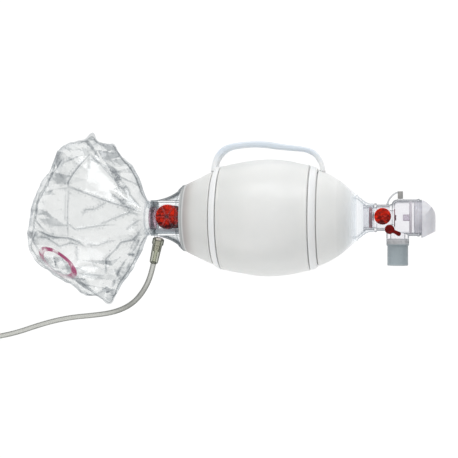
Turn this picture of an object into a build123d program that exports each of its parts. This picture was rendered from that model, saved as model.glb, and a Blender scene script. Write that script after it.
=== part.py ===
from build123d import *
import math
import os

os.makedirs("parts", exist_ok=True)

# Adult self-inflating bag resuscitator, without a mask.
# +X runs along the bag from the oxygen reservoir to the patient valve, +Y is the
# side with the hand strap, +Z is up, and the whole thing lies on z = 0.

# ---------------------------------------------------------------- driving sizes
axis_z = 63.5  # height of the bag's axis, half the barrel diameter
bag_wall = 2.0
neck_x = 141.0  # where the bag's front mouth ends
mouth_x = -45.0  # where the bag's rear mouth ends

strap_depth = 19.0  # along Z
ring_rear = (-12.2, -4.0)
ring_front = (92.6, 101.4)

chamber_half = 19.4  # half of the inlet chamber's square section
chamber_x = (-80.6, -47.6)
chamber_wall = 2.0
vent_xy = (-62.4, 1.2)  # centre of the intake and overflow valves
vent_hole_r = 13.9
vent_disc_r = 13.5
bag_inlet_disc_r = 12.0
nipple_from = (-75.2, -20.6, 63.2)
hose_from = (-83.6, -49.5, 53.0)  # where the tube leaves its connector

swivel_gap = 0.05  # radial running clearance of both swivels
body_gap = 0.3  # between pieces that move past each other
neck_r = 13.25  # patient valve neck, in the bag's front collar
valve_r = 19.5  # expiratory chamber
conn_x = 185.6  # axis of the patient connector
conn_outer_r = 11.0  # 22 mm male cone
conn_bore_r = 7.5  # 15 mm female cone
conn_end_y = -51.3

relief_xy = (169.7, 1.4)
relief_r = 8.85
mano_xy = (177.0, -12.4)
sample_x = 188.4

tube_r = 3.0
tube_total_m = 2.0
coil_centre = (-334.0, -100.0)
coil_r = (26.5, 45.5)
coil_height = 18.2

# ---------------------------------------------------------------- frames
bag_axis = Axis((0, 0, axis_z), (1, 0, 0))
axial = Plane(origin=(0, 0, axis_z), x_dir=(1, 0, 0), z_dir=(0, -1, 0))
conn_axis = Axis((conn_x, 0, axis_z), (0, -1, 0))
conn_plane = Plane(origin=(conn_x, 0, axis_z), x_dir=(0, -1, 0), z_dir=(-1, 0, 0))


def upright(x, y):
    """A plane for profiles (radius, height above the bag's axis) about a vertical axis."""
    return Plane(origin=(x, y, axis_z), x_dir=(1, 0, 0), z_dir=(0, -1, 0))


def vertical(x, y):
    return Axis((x, y, 0), (0, 0, 1))


# ---------------------------------------------------------------- compression bag
rear_curve = [(mouth_x, 36.6), (-36.5, 40.6), (-27.3, 44.8), (-19.5, 48.5), (-12.4, 51.6)]
barrel_curve = [(-3.8, 56.3), (5.0, 58.4), (17.0, 60.6), (31.0, 62.7), (46.0, 63.5), (60.0, 62.7), (71.1, 61.0), (83.0, 58.6), (92.4, 56.2)]
front_curve = [(101.6, 52.2), (110.0, 48.4), (118.7, 43.9), (129.4, 36.2), (136.0, 30.2), (neck_x, 25.6)]
inner_curve = [
    (neck_x, 25.6 - bag_wall),
    (129.4, 36.2 - bag_wall - 0.5),
    (118.7, 43.9 - bag_wall - 0.4),
    (104.0, 49.0 - 0.9),
    (92.0, 53.4 - 0.4),
    (71.1, 61.0 - bag_wall - 0.6),
    (46.0, 63.5 - bag_wall - 0.6),
    (17.0, 60.6 - bag_wall - 0.6),
    (-3.8, 53.6 - 1.3),
    (-13.0, 49.0 - 1.4),
    (-27.3, 44.8 - bag_wall - 0.6),
    (mouth_x, 36.6 - bag_wall),
]
with BuildPart() as compression_bag:
    with BuildSketch(axial):
        with BuildLine():
            Spline(*rear_curve)
            Polyline(rear_curve[-1], (-12.4, 50.3), (-3.8, 54.6), barrel_curve[0])
            Spline(*barrel_curve)
            Polyline(barrel_curve[-1], (92.4, 54.6), (101.6, 50.6), front_curve[0])
            Spline(*front_curve)
            Line(front_curve[-1], inner_curve[0])
            Spline(*inner_curve)
            Line(inner_curve[-1], rear_curve[0])
        make_face()
    revolve(axis=bag_axis)
compression_bag.part.label = "compression_bag"
export_step(compression_bag.part, "parts/compression_bag.step")

# ---------------------------------------------------------------- hand strap and its rings
with BuildPart() as strap_ring_rear:
    with BuildSketch(axial):
        with BuildLine():
            Polyline((ring_rear[0], 50.45), (ring_rear[0], 52.4), (-8.0, 55.0), (ring_rear[1], 56.7), (ring_rear[1], 54.55), close=True)
        make_face()
    revolve(axis=bag_axis)
strap_ring_rear.part.label = "strap_ring_rear"
export_step(strap_ring_rear.part, "parts/strap_ring_rear.step")

with BuildPart() as strap_ring_front:
    with BuildSketch(axial):
        with BuildLine():
            Polyline((ring_front[0], 54.55), (ring_front[0], 56.7), (97.2, 55.0), (ring_front[1], 52.8), (ring_front[1], 50.75), close=True)
        make_face()
    revolve(axis=bag_axis)
strap_ring_front.part.label = "strap_ring_front"
export_step(strap_ring_front.part, "parts/strap_ring_front.step")

strap_outer = [(-17.0, 49.0), (-14.8, 61.8), (-11.1, 69.1), (-5.1, 76.2), (2.2, 80.0), (14.1, 82.2), (31.7, 83.5), (46.3, 82.8), (55.0, 81.2), (68.1, 79.2), (84.1, 77.2), (94.2, 74.4), (101.4, 69.4), (106.5, 62.2), (109.6, 49.0)]
strap_inner = [(106.2, 49.6), (102.8, 58.6), (97.1, 65.4), (91.4, 69.2), (84.1, 71.4), (69.7, 72.6), (55.0, 74.2), (43.4, 75.9), (31.7, 76.7), (17.0, 76.2), (5.2, 73.9), (-2.9, 69.0), (-6.8, 63.0), (-9.2, 52.0)]
with BuildPart() as bag_envelope:
    with BuildSketch(axial):
        with BuildLine():
            Polyline((-40, 0), (-40, 38.9), (-27.3, 45.0), (-12.3, 51.8), (-12.3, 52.5), (-8.0, 55.1), (-3.9, 56.8), (-3.9, 57.0), (17, 60.9), (46, 63.8), (92.5, 57.0), (92.5, 56.8), (97.2, 55.1), (101.5, 52.9), (101.5, 52.5), (118.7, 44.2), (125, 40.1), (125, 0), close=True)
        make_face()
    revolve(axis=bag_axis)

with BuildPart() as hand_strap:
    with BuildSketch(Plane.XY.offset(axis_z - strap_depth / 2)):
        with BuildLine():
            Spline(*strap_outer)
            Line(strap_outer[-1], strap_inner[0])
            Spline(*strap_inner)
            Line(strap_inner[-1], strap_outer[0])
        make_face()
    extrude(amount=strap_depth)
    add(bag_envelope.part, mode=Mode.SUBTRACT)
hand_strap.part.label = "hand_strap"
export_step(hand_strap.part, "parts/hand_strap.step")

# ---------------------------------------------------------------- inlet housing: bell, flange and square valve chamber
with BuildPart() as bell_void:
    with BuildSketch(axial):
        with BuildLine():
            Polyline((-79.0, 0), (-79.0, 17.7), (-72.4, 19.3), (-65.0, 21.6), (-57.4, 25.2), (-51.9, 28.8), (-48.6, 32.3), (-30.0, 32.3), (-30.0, 0), close=True)
        make_face()
    revolve(axis=bag_axis)

with BuildPart() as inlet_housing:
    with BuildSketch(axial):
        with BuildLine():
            Polyline((-80.6, 0), (-80.6, 19.3))
            Spline((-80.6, 19.3), (-72.4, 21.0), (-65.0, 23.3), (-57.4, 26.9), (-51.4, 31.0))
            Polyline((-51.4, 31.0), (-51.0, 32.4), (-49.6, 33.2), (-49.2, 34.2), (-47.6, 34.9), (-47.2, 36.0), (-45.1, 36.7), (-45.1, 34.5), (-38.0, 34.0), (-38.0, 0), (-80.6, 0))
        make_face()
    revolve(axis=bag_axis)
    add(bell_void.part, mode=Mode.SUBTRACT)
    # flats on top and below, where the square chamber comes through the bell
    with BuildSketch(Plane.XY.offset(axis_z + chamber_half)):
        with Locations((-64.9, 0)):
            Rectangle(26.6, 36.6)
    extrude(amount=20, mode=Mode.SUBTRACT)
    with BuildSketch(Plane.XY.offset(axis_z - chamber_half)):
        with Locations((-64.9, 0)):
            Rectangle(26.6, 36.6)
    extrude(amount=-20, mode=Mode.SUBTRACT)
    # the square chamber
    with BuildSketch(Plane.YZ.offset(chamber_x[0])):
        with Locations((0, axis_z)):
            RectangleRounded(2 * chamber_half, 2 * chamber_half, 2.4)
    extrude(amount=chamber_x[1] - chamber_x[0])
    with BuildSketch(Plane.YZ.offset(chamber_x[0] + 1.8)):
        with Locations((0, axis_z)):
            RectangleRounded(2 * (chamber_half - chamber_wall), 2 * (chamber_half - chamber_wall), 1.4)
    extrude(amount=chamber_x[1] - chamber_x[0], mode=Mode.SUBTRACT)
    # round throat to the reservoir
    with BuildSketch(Plane.YZ.offset(chamber_x[0] - 1)):
        with Locations((0, axis_z)):
            Circle(12.3)
    extrude(amount=4, mode=Mode.SUBTRACT)
    # round windows for the intake valve above and the overflow valve below
    with BuildSketch(Plane.XY.offset(axis_z - 21)):
        with Locations(vent_xy):
            Circle(vent_hole_r)
    extrude(amount=42, mode=Mode.SUBTRACT)
    # boss for the oxygen nipple, bored through
    with BuildSketch(Plane.XZ.offset(chamber_half - 0.8)):
        with Locations((nipple_from[0], axis_z)):
            Circle(5.2)
    extrude(amount=2.6)
    with BuildSketch(Plane.XZ.offset(chamber_half - 3)):
        with Locations((nipple_from[0], axis_z)):
            Circle(2.2)
    extrude(amount=6, mode=Mode.SUBTRACT)
inlet_housing.part.label = "inlet_housing"
export_step(inlet_housing.part, "parts/inlet_housing.step")

# seat plate between the chamber and the bag, with six gas slots and a centre pin
with BuildPart() as bag_inlet_seat:
    with BuildSketch(Plane.YZ.offset(-47.5)):
        with Locations((0, axis_z)):
            Circle(32.0)
            Circle(10.2, mode=Mode.SUBTRACT)
            with PolarLocations(0, 3):
                Rectangle(22.0, 2.0)
            Circle(2.6)
    extrude(amount=1.8)
    with BuildSketch(Plane.YZ.offset(-45.7)):
        with Locations((0, axis_z)):
            Circle(1.2)
    extrude(amount=4.2)
    with BuildSketch(Plane.YZ.offset(-41.5)):
        with Locations((0, axis_z)):
            Circle(2.2)
    extrude(amount=0.9)
bag_inlet_seat.part.label = "bag_inlet_seat"
export_step(bag_inlet_seat.part, "parts/bag_inlet_seat.step")

with BuildPart() as bag_inlet_disc:
    with BuildSketch(Plane.YZ.offset(-45.35)):
        with Locations((0, axis_z)):
            Circle(bag_inlet_disc_r)
            Circle(1.6, mode=Mode.SUBTRACT)
    extrude(amount=1.0)
bag_inlet_disc.part.label = "bag_inlet_disc"
export_step(bag_inlet_disc.part, "parts/bag_inlet_disc.step")

# intake valve on top: spoked seat, red disc under it
with BuildPart() as intake_seat:
    with BuildSketch(Plane.XY.offset(axis_z + 17.4)):
        with Locations(vent_xy):
            Circle(vent_hole_r)
            Circle(12.4, mode=Mode.SUBTRACT)
            with PolarLocations(0, 3):
                Rectangle(25.6, 1.2)
            Circle(2.3)
    extrude(amount=2.0)
    with BuildSketch(Plane.XY.offset(axis_z + 17.4)):
        with Locations(vent_xy):
            Circle(1.15)
    extrude(amount=-4.6)
    with BuildSketch(Plane.XY.offset(axis_z + 12.8)):
        with Locations(vent_xy):
            Circle(1.9)
    extrude(amount=-0.8)
intake_seat.part.label = "intake_seat"
export_step(intake_seat.part, "parts/intake_seat.step")

with BuildPart() as intake_disc:
    with BuildSketch(Plane.XY.offset(axis_z + 15.4)):
        with Locations(vent_xy):
            Circle(vent_disc_r)
            Circle(1.5, mode=Mode.SUBTRACT)
    extrude(amount=1.2)
    # raised ribs on the face
    with BuildSketch(Plane.XY.offset(axis_z + 16.6)):
        with Locations(vent_xy):
            Circle(12.9)
            Circle(12.1, mode=Mode.SUBTRACT)
            with Locations((0, 0)):
                with PolarLocations(6.9, 8, start_angle=11):
                    Rectangle(10.4, 0.8)
            Circle(3.0)
            Circle(2.2, mode=Mode.SUBTRACT)
    extrude(amount=0.45)
intake_disc.part.label = "intake_disc"
export_step(intake_disc.part, "parts/intake_disc.step")

# overflow valve below: seat flush with the inside, disc outside it
with BuildPart() as overflow_seat:
    with BuildSketch(Plane.XY.offset(axis_z - 17.6)):
        with Locations(vent_xy):
            Circle(vent_hole_r)
            Circle(11.6, mode=Mode.SUBTRACT)
            with PolarLocations(0, 3):
                Rectangle(24.4, 1.4)
            Circle(2.3)
    extrude(amount=1.4)
    with BuildSketch(Plane.XY.offset(axis_z - 17.6)):
        with Locations(vent_xy):
            Circle(1.15)
    extrude(amount=-3.6)
    with BuildSketch(Plane.XY.offset(axis_z - 21.2)):
        with Locations(vent_xy):
            Circle(1.9)
    extrude(amount=-0.8)
overflow_seat.part.label = "overflow_seat"
export_step(overflow_seat.part, "parts/overflow_seat.step")

with BuildPart() as overflow_disc:
    with BuildSketch(Plane.XY.offset(axis_z - 18.0)):
        with Locations(vent_xy):
            Circle(13.1)
            Circle(1.5, mode=Mode.SUBTRACT)
    extrude(amount=-1.2)
overflow_disc.part.label = "overflow_disc"
export_step(overflow_disc.part, "parts/overflow_disc.step")

# oxygen duct inside the chamber, beside the nipple
with BuildPart() as oxygen_duct:
    with BuildSketch(Plane.YZ.offset(-78.6)):
        with Locations((-14.2, axis_z)):
            Circle(3.1)
            Circle(1.8, mode=Mode.SUBTRACT)
    extrude(amount=27.4)
oxygen_duct.part.label = "oxygen_duct"
export_step(oxygen_duct.part, "parts/oxygen_duct.step")

# ---------------------------------------------------------------- reservoir: collar, seal and bag
with BuildPart() as reservoir_collar:
    with BuildSketch(axial):
        with BuildLine():
            Polyline((-88.6, 12.4), (-88.6, 19.2), (-86.6, 19.2), (-86.6, 17.6), (-83.4, 17.6), (-83.4, 18.6), (-80.7, 18.6), (-80.7, 12.4), close=True)
        make_face()
    revolve(axis=bag_axis)
reservoir_collar.part.label = "reservoir_collar"
export_step(reservoir_collar.part, "parts/reservoir_collar.step")

with BuildPart() as reservoir_seal:
    with BuildSketch(axial):
        with BuildLine():
            Polyline((-84.4, 9.6), (-84.4, 12.3), (-79.6, 12.3), (-79.6, 9.6), close=True)
        make_face()
    revolve(axis=bag_axis)
reservoir_seal.part.label = "reservoir_seal"
export_step(reservoir_seal.part, "parts/reservoir_seal.step")

reservoir_outline = [(-100.0, 49.5), (-118.0, 74.0), (-134.0, 81.5), (-152.2, 88.0), (-166.0, 82.6), (-193.9, 70.8), (-212.0, 44.0), (-224.0, 18.0), (-227.2, -5.0), (-226.0, -30.0), (-214.0, -50.0), (-189.0, -67.0), (-162.5, -82.7), (-146.0, -85.5), (-130.4, -88.2), (-116.0, -67.3), (-102.0, -44.0), (-96.0, 0.0)]
reservoir_middle = (-158.0, 0.0)
# heights above the table and the share of the outline's width there
reservoir_levels = [(0.0, 0.60), (9.0, 0.84), (26.0, 0.965), (48.0, 1.0), (70.0, 0.95), (88.0, 0.80), (98.0, 0.58)]
neck_sections = [(-88.7, 19.0, 19.0, axis_z), (-93.5, 29.0, 25.0, 62.0), (-101.0, 45.0, 33.0, 58.0), (-112.0, 62.0, 40.0, 53.0), (-126.0, 70.0, 42.0, 50.0)]


def reservoir_shape(inset):
    """The filled reservoir, or the same shape set in by the film: lying on a flat, narrowing to the collar."""
    top = reservoir_levels[-1][0]
    with BuildPart() as shape:
        for level, share in reservoir_levels:
            share = share * (1 - inset / 80)
            with BuildSketch(Plane.XY.offset(inset + level * (top - 2 * inset) / top)):
                with BuildLine():
                    Spline(*[(reservoir_middle[0] + share * (x - reservoir_middle[0]), reservoir_middle[1] + share * (y - reservoir_middle[1])) for x, y in reservoir_outline], periodic=True)
                make_face()
        loft()
        for x, half_y, half_z, z in neck_sections:
            with BuildSketch(Plane.YZ.offset(x + (inset if x < -89 else 0))):
                with Locations((0, z)):
                    Ellipse(half_y - inset, half_z - inset)
        loft()
    return shape.part


film = 0.9
with BuildPart() as reservoir_bag:
    add(reservoir_shape(0))
    add(reservoir_shape(film), mode=Mode.SUBTRACT)
reservoir_bag.part.label = "reservoir_bag"
export_step(reservoir_bag.part, "parts/reservoir_bag.step")

# ---------------------------------------------------------------- front collar on the bag's neck
with BuildPart() as front_collar:
    with BuildSketch(axial):
        with BuildLine():
            Polyline((134.0, 28.2), (136.0, 27.0), (neck_x - 0.2, 23.2), (neck_x + 0.1, 23.2), (neck_x + 0.1, 26.4), (143.0, 26.1), (143.4, 23.9), (145.4, 22.3), (148.0, 20.0), (148.3, 21.0), (149.6, 20.4), (149.9, 18.4), (153.5, 16.2), (157.0, 15.2), (160.4, 15.2), (160.4, neck_r + swivel_gap), (151.4, neck_r + swivel_gap), (149.0, 16.9), (145.4, 20.2), (141.0, 21.6), (134.0, 26.6), close=True)
        make_face()
    revolve(axis=bag_axis)
front_collar.part.label = "front_collar"
export_step(front_collar.part, "parts/front_collar.step")

# ---------------------------------------------------------------- patient valve housing
with BuildPart() as valve_housing:
    with BuildSketch(axial):
        with BuildLine():
            Polyline((149.0, 0), (149.0, 14.2), (150.8, 14.2), (150.8, neck_r), (160.8, neck_r), (160.8, 15.4), (163.2, 15.4), (163.6, 14.1), (177.2, 14.1), (179.4, 14.9))
            ThreePointArc((179.4, 14.9), (181.3, 18.15), (185.2, valve_r))
            Polyline((185.2, valve_r), (206.2, valve_r), (206.6, 20.1), (208.4, 20.1), (208.8, 19.3), (210.6, 18.9), (210.6, 0), (149.0, 0))
        make_face()
    revolve(axis=bag_axis)
    # patient port: boss under the chamber and the tube that the connector turns on
    with BuildSketch(conn_plane):
        with BuildLine():
            Polyline((8.0, 0), (8.0, 12.0), (22.3, 12.0), (22.3, 9.6), (34.0, 9.6), (34.0, 0), close=True)
        make_face()
    revolve(axis=conn_axis)
    # tower of the pressure relief valve
    with BuildSketch(upright(*relief_xy)):
        with BuildLine():
            Polyline((0, 2.0), (10.5, 2.0), (10.5, 17.2), (0, 17.2), close=True)
        make_face()
    revolve(axis=vertical(*relief_xy))
    # room for the front collar's sleeve to pass under the tower
    with BuildSketch(axial):
        with BuildLine():
            Polyline((151.5, neck_r), (160.75, neck_r), (160.75, 15.6), (151.5, 15.6), close=True)
        make_face()
    revolve(axis=bag_axis, mode=Mode.SUBTRACT)
    # manometer port
    with BuildSketch(upright(*mano_xy)):
        with BuildLine():
            Polyline((0, 2.0), (4.3, 2.0), (4.3, 17.3), (3.6, 17.3), (3.6, 20.4), (3.3, 20.8), (0, 20.8), close=True)
        make_face()
    revolve(axis=vertical(*mano_xy))
    # sampling port
    with BuildSketch(Plane.XZ.offset(-17.5)):
        with Locations((sample_x, axis_z)):
            Circle(2.0)
    extrude(amount=-8.7)
    with BuildSketch(Plane.XZ.offset(-17.5)):
        with Locations((sample_x, axis_z)):
            Circle(3.6)
    extrude(amount=-2.4)
    # inside: neck, wall with the valve's hole, chamber
    with BuildSketch(axial):
        with BuildLine():
            Polyline((148.0, 0), (148.0, 11.4), (163.0, 11.4), (163.0, 12.4), (177.2, 12.4), (177.2, 8.0), (183.0, 8.0), (183.0, 0), close=True)
        make_face()
    revolve(axis=bag_axis, mode=Mode.SUBTRACT)
    with BuildSketch(axial):
        with BuildLine():
            Polyline((181.4, 0), (181.4, 15.2), (182.9, 16.9), (185.2, 17.7), (212.0, 17.7), (212.0, 0), close=True)
        make_face()
    revolve(axis=bag_axis, mode=Mode.SUBTRACT)
    with BuildSketch(conn_plane):
        with BuildLine():
            Polyline((15.0, 0), (15.0, 8.0), (35.0, 8.0), (35.0, 0), close=True)
        make_face()
    revolve(axis=conn_axis, mode=Mode.SUBTRACT)
    with BuildSketch(upright(*relief_xy)):
        with BuildLine():
            Polyline((0, 14.8), (9.2, 14.8), (9.2, 18.0), (0, 18.0), close=True)
        make_face()
    revolve(axis=vertical(*relief_xy), mode=Mode.SUBTRACT)
    with BuildSketch(upright(*relief_xy)):
        with BuildLine():
            Polyline((0, 8.0), (5.0, 8.0), (5.0, 16.0), (0, 16.0), close=True)
        make_face()
    revolve(axis=vertical(*relief_xy), mode=Mode.SUBTRACT)
    with BuildSketch(upright(*mano_xy)):
        with BuildLine():
            Polyline((0, 8.0), (1.5, 8.0), (1.5, 22.0), (0, 22.0), close=True)
        make_face()
    revolve(axis=vertical(*mano_xy), mode=Mode.SUBTRACT)
    with BuildSketch(Plane.XZ.offset(-15.5)):
        with Locations((sample_x, axis_z)):
            Circle(0.9)
    extrude(amount=-12.0, mode=Mode.SUBTRACT)
valve_housing.part.label = "valve_housing"
export_step(valve_housing.part, "parts/valve_housing.step")

# red spoked insert in the neck
with BuildPart() as neck_insert:
    with BuildSketch(Plane.YZ.offset(155.2)):
        with Locations((0, axis_z)):
            Circle(11.4)
            Circle(8.6, mode=Mode.SUBTRACT)
            with PolarLocations(0, 2):
                Rectangle(18.4, 1.6)
            Circle(2.4)
    extrude(amount=3.4)
neck_insert.part.label = "neck_insert"
export_step(neck_insert.part, "parts/neck_insert.step")

# shutter membrane in front of the wall's hole
with BuildPart() as shutter_membrane:
    with BuildSketch(Plane.YZ.offset(181.8)):
        with Locations((0, axis_z)):
            Circle(9.75)
    extrude(amount=1.0)
    with BuildSketch(Plane.YZ.offset(182.8)):
        with Locations((0, axis_z)):
            Circle(3.0)
    extrude(amount=1.2)
shutter_membrane.part.label = "shutter_membrane"
export_step(shutter_membrane.part, "parts/shutter_membrane.step")

# spider across the chamber and the stop pin that it holds
with BuildPart() as outlet_spider:
    with BuildSketch(Plane.YZ.offset(198.0)):
        with Locations((0, axis_z)):
            Circle(17.7)
            Circle(16.2, mode=Mode.SUBTRACT)
            with PolarLocations(10.6, 4, start_angle=45):
                Rectangle(12.6, 1.4)
            Circle(5.2)
            Circle(3.5, mode=Mode.SUBTRACT)
    extrude(amount=2.4)
outlet_spider.part.label = "outlet_spider"
export_step(outlet_spider.part, "parts/outlet_spider.step")

with BuildPart() as stop_pin:
    with BuildSketch(Plane.YZ.offset(191.0)):
        with Locations((0, axis_z)):
            Circle(3.5)
    extrude(amount=9.7)
    chamfer(stop_pin.edges().group_by(Axis.X)[0], length=0.6)
stop_pin.part.label = "stop_pin"
export_step(stop_pin.part, "parts/stop_pin.step")

# ---------------------------------------------------------------- splash guard
guard_profile = [(210.9, 19.3), (214.0, 17.6), (217.6, 14.6), (221.2, 10.6), (223.8, 6.6), (225.3, 1.6)]
guard_side = [(210.9, 19.3), (216.5, 18.4), (221.0, 15.4), (223.9, 10.4), (225.3, 4.0)]


def guard_blank(inset):
    """The guard's rounded outer shape, or the same shape set in by a wall."""
    with BuildPart() as blank:
        with BuildSketch(Plane.XY.offset(axis_z - 22)):
            with BuildLine():
                Spline(*[(x - inset * (x - 210.9) / 14.4, y - inset) for x, y in guard_profile])
                Polyline((225.3 - inset, 1.6 - inset), (225.3 - inset, -30.0), (210.9, -30.0), (210.9, 19.3 - inset))
            make_face()
        extrude(amount=44)
        with BuildSketch(Plane.XZ.offset(-25)):
            with BuildLine():
                Spline(*[(x - inset * (x - 210.9) / 14.4, axis_z + z - inset) for x, z in guard_side])
                Line((225.3 - inset, axis_z + 4.0 - inset), (225.3 - inset, axis_z - 4.0 + inset))
                Spline(*[(x - inset * (x - 210.9) / 14.4, axis_z - z + inset) for x, z in reversed(guard_side)])
                Line((210.9, axis_z - 19.3 + inset), (210.9, axis_z + 19.3 - inset))
            make_face()
        extrude(amount=60, mode=Mode.INTERSECT)
        with BuildSketch(Plane.YZ.offset(205)):
            with Locations((0, axis_z)):
                Circle(19.3 - inset)
            with Locations((-20, axis_z)):
                Rectangle(40, 2 * (19.3 - inset))
        extrude(amount=30, mode=Mode.INTERSECT)
    return blank.part


guard_void = guard_blank(1.3)
guard_shape = guard_blank(0.0)
with BuildPart() as splash_guard:
    add(guard_shape)
    add(guard_void, mode=Mode.SUBTRACT)
    # the mouth, cut on a slant
    with BuildSketch(Plane.XY.offset(axis_z - 30)):
        with BuildLine():
            Polyline((205.0, -24.6), (211.0, -21.5), (225.3, -14.3), (232.0, -10.9), (232.0, -40.0), (205.0, -40.0), close=True)
        make_face()
    extrude(amount=60, mode=Mode.SUBTRACT)
    # spigot that pushes into the chamber
    with BuildSketch(axial):
        with BuildLine():
            Polyline((203.0, 16.3), (203.0, valve_r - 1.8 - swivel_gap), (210.9, valve_r - 1.8 - swivel_gap), (210.9, 18.9), (212.1, 18.6), (212.1, 16.3), close=True)
        make_face()
    revolve(axis=bag_axis)
splash_guard.part.label = "splash_guard"
export_step(splash_guard.part, "parts/splash_guard.step")

# ---------------------------------------------------------------- patient connector, 22 mm outside and 15 mm inside
with BuildPart() as patient_connector:
    with BuildSketch(conn_plane):
        with BuildLine():
            Polyline((22.65, 9.65), (22.65, 12.0), (29.4, 12.0), (30.2, conn_outer_r), (50.6, conn_outer_r), (-conn_end_y, 10.4), (-conn_end_y, conn_bore_r), (35.4, conn_bore_r), (34.4, 8.4), (34.4, 9.65), close=True)
        make_face()
    revolve(axis=conn_axis)
    # shallow windows round the collar
    with BuildSketch(Plane.XZ.offset(24.6)):
        with Locations((conn_x, axis_z)):
            Circle(13.0)
            Circle(11.2, mode=Mode.SUBTRACT)
            with PolarLocations(12.0, 6):
                Rectangle(4.0, 3.2, mode=Mode.SUBTRACT)
    extrude(amount=2.6, mode=Mode.SUBTRACT)
patient_connector.part.label = "patient_connector"
export_step(patient_connector.part, "parts/patient_connector.step")

# ---------------------------------------------------------------- relief valve button
with BuildPart() as relief_button:
    with BuildSketch(upright(*relief_xy)):
        with BuildLine():
            Polyline((0, 15.2), (relief_r, 15.2), (relief_r, 18.0), (relief_r - 0.6, 18.6), (5.6, 18.6), (5.2, 18.2), (0, 18.2), close=True)
        make_face()
    revolve(axis=vertical(*relief_xy))
relief_button.part.label = "relief_button"
export_step(relief_button.part, "parts/relief_button.step")

# ---------------------------------------------------------------- manometer port cap with its pull tab
tab_end = (188.1, -17.9)
tab_angle = math.degrees(math.atan2(tab_end[1] - mano_xy[1], tab_end[0] - mano_xy[0]))
with BuildPart() as manometer_cap:
    with BuildSketch(upright(*mano_xy)):
        with BuildLine():
            Polyline((3.65, 17.6), (5.0, 17.6), (5.0, 22.4), (4.3, 23.1), (0, 23.1), (0, 21.2), (3.65, 21.2), close=True)
        make_face()
    revolve(axis=vertical(*mano_xy))
    with BuildSketch(Plane(origin=(mano_xy[0], mano_xy[1], axis_z + 20.6), x_dir=(math.cos(math.radians(tab_angle)), math.sin(math.radians(tab_angle)), 0), z_dir=(0, 0, 1))):
        with Locations((8.6, 0)):
            SlotOverall(8.4, 3.2)
    extrude(amount=1.7)
manometer_cap.part.label = "manometer_cap"
export_step(manometer_cap.part, "parts/manometer_cap.step")

# ---------------------------------------------------------------- sampling port cap and its tether
with BuildPart() as port_cap:
    with BuildSketch(Plane.XZ.offset(-20.3)):
        with Locations((sample_x, axis_z)):
            Circle(2.85)
            Circle(2.05, mode=Mode.SUBTRACT)
    extrude(amount=-6.3)
    with BuildSketch(Plane.XZ.offset(-26.6)):
        with Locations((sample_x, axis_z)):
            Circle(2.85)
    extrude(amount=-1.6)
port_cap.part.label = "port_cap"
export_step(port_cap.part, "parts/port_cap.step")

with BuildPart() as port_tether:
    with BuildLine():
        tether_line = ThreePointArc((185.2, 27.0, axis_z), (178.7, 22.3, axis_z), (174.4, 14.8, axis_z))
    with BuildSketch(Plane(origin=tether_line @ 0, z_dir=tether_line % 0)):
        Circle(0.55)
    sweep()
port_tether.part.label = "port_tether"
export_step(port_tether.part, "parts/port_tether.step")

# ---------------------------------------------------------------- oxygen nipple and the tube's push-on connector
hose_dir = (Vector(*hose_from) - Vector(*nipple_from)).normalized()
hose_len = (Vector(*hose_from) - Vector(*nipple_from)).length
along = Plane(origin=nipple_from, x_dir=(hose_dir.X, hose_dir.Y, hose_dir.Z), z_dir=hose_dir.cross(Vector(0, 0, 1)).normalized())
hose_axis = Axis(nipple_from, (hose_dir.X, hose_dir.Y, hose_dir.Z))
with BuildPart() as oxygen_nipple:
    with BuildSketch(along):
        with BuildLine():
            Polyline((0.9, 1.3), (0.9, 3.4), (4.0, 3.2), (4.4, 3.7), (8.0, 3.0), (8.4, 3.6), (12.0, 2.9), (16.0, 2.6), (16.0, 1.3), close=True)
        make_face()
    revolve(axis=hose_axis)
    with BuildSketch(Plane.XZ.offset(chamber_half + 1.8)):
        with Locations((nipple_from[0] - 0.1, axis_z - 0.1)):
            Circle(4.4)
            Circle(1.3, mode=Mode.SUBTRACT)
    extrude(amount=1.4)
oxygen_nipple.part.label = "oxygen_nipple"
export_step(oxygen_nipple.part, "parts/oxygen_nipple.step")

with BuildPart() as tube_connector:
    with BuildSketch(along):
        with BuildLine():
            Polyline((3.0, 3.75), (3.0, 5.9), (3.6, 6.4), (8.6, 6.4), (9.4, 5.4), (hose_len - 1.0, 4.7), (hose_len, 4.2), (hose_len, 2.0), (18.0, 2.0), (17.0, 3.75), close=True)
        make_face()
    revolve(axis=hose_axis)
tube_connector.part.label = "tube_connector"
export_step(tube_connector.part, "parts/tube_connector.step")

# ---------------------------------------------------------------- oxygen tube: down to the table, then away to its coil
route = [
    (-83.6, -49.5, 53.0),
    (-86.66, -60.04, 49.28),
    (-92.8, -73.4, 42.6),
    (-102.4, -86.3, 33.6),
    (-113.6, -96.4, 24.4),
    (-127.5, -104.2, 14.9),
    (-145.2, -110.0, 7.2),
    (-167.0, -113.2, 3.6),
    (-191.5, -115.6, 3.05),
    (-214.5, -120.2, 3.05),
    (-236.5, -126.6, 3.05),
    (-258.0, -134.0, 3.05),
    (-281.5, -139.6, 3.05),
    (-302.0, -141.8, 3.05),
    (-319.0, -142.2, 3.05),
]


def bend_radii(points):
    """Each corner's arc: as large as its two runs allow."""
    found = []
    for before, at, after in zip(points, points[1:], points[2:]):
        first, second = Vector(*at) - Vector(*before), Vector(*after) - Vector(*at)
        turn = math.radians(first.get_angle(second))
        found.append(0.45 * min(first.length, second.length) / math.tan(turn / 2))
    return found


radii = bend_radii(route)
with BuildPart() as oxygen_tube:
    with BuildLine():
        centreline = FilletPolyline(*route, radius=radii)
    with BuildSketch(Plane(origin=centreline @ 0, z_dir=centreline % 0)):
        Circle(tube_r)
    sweep()
oxygen_tube.part.label = "oxygen_tube"
export_step(oxygen_tube.part, "parts/oxygen_tube.step")
print("tube radii", [round(r, 1) for r in radii])
print("tube length", round(centreline.length, 1), "volume", round(oxygen_tube.part.volume, 1), "section times length", round(math.pi * tube_r**2 * centreline.length, 1))

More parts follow.
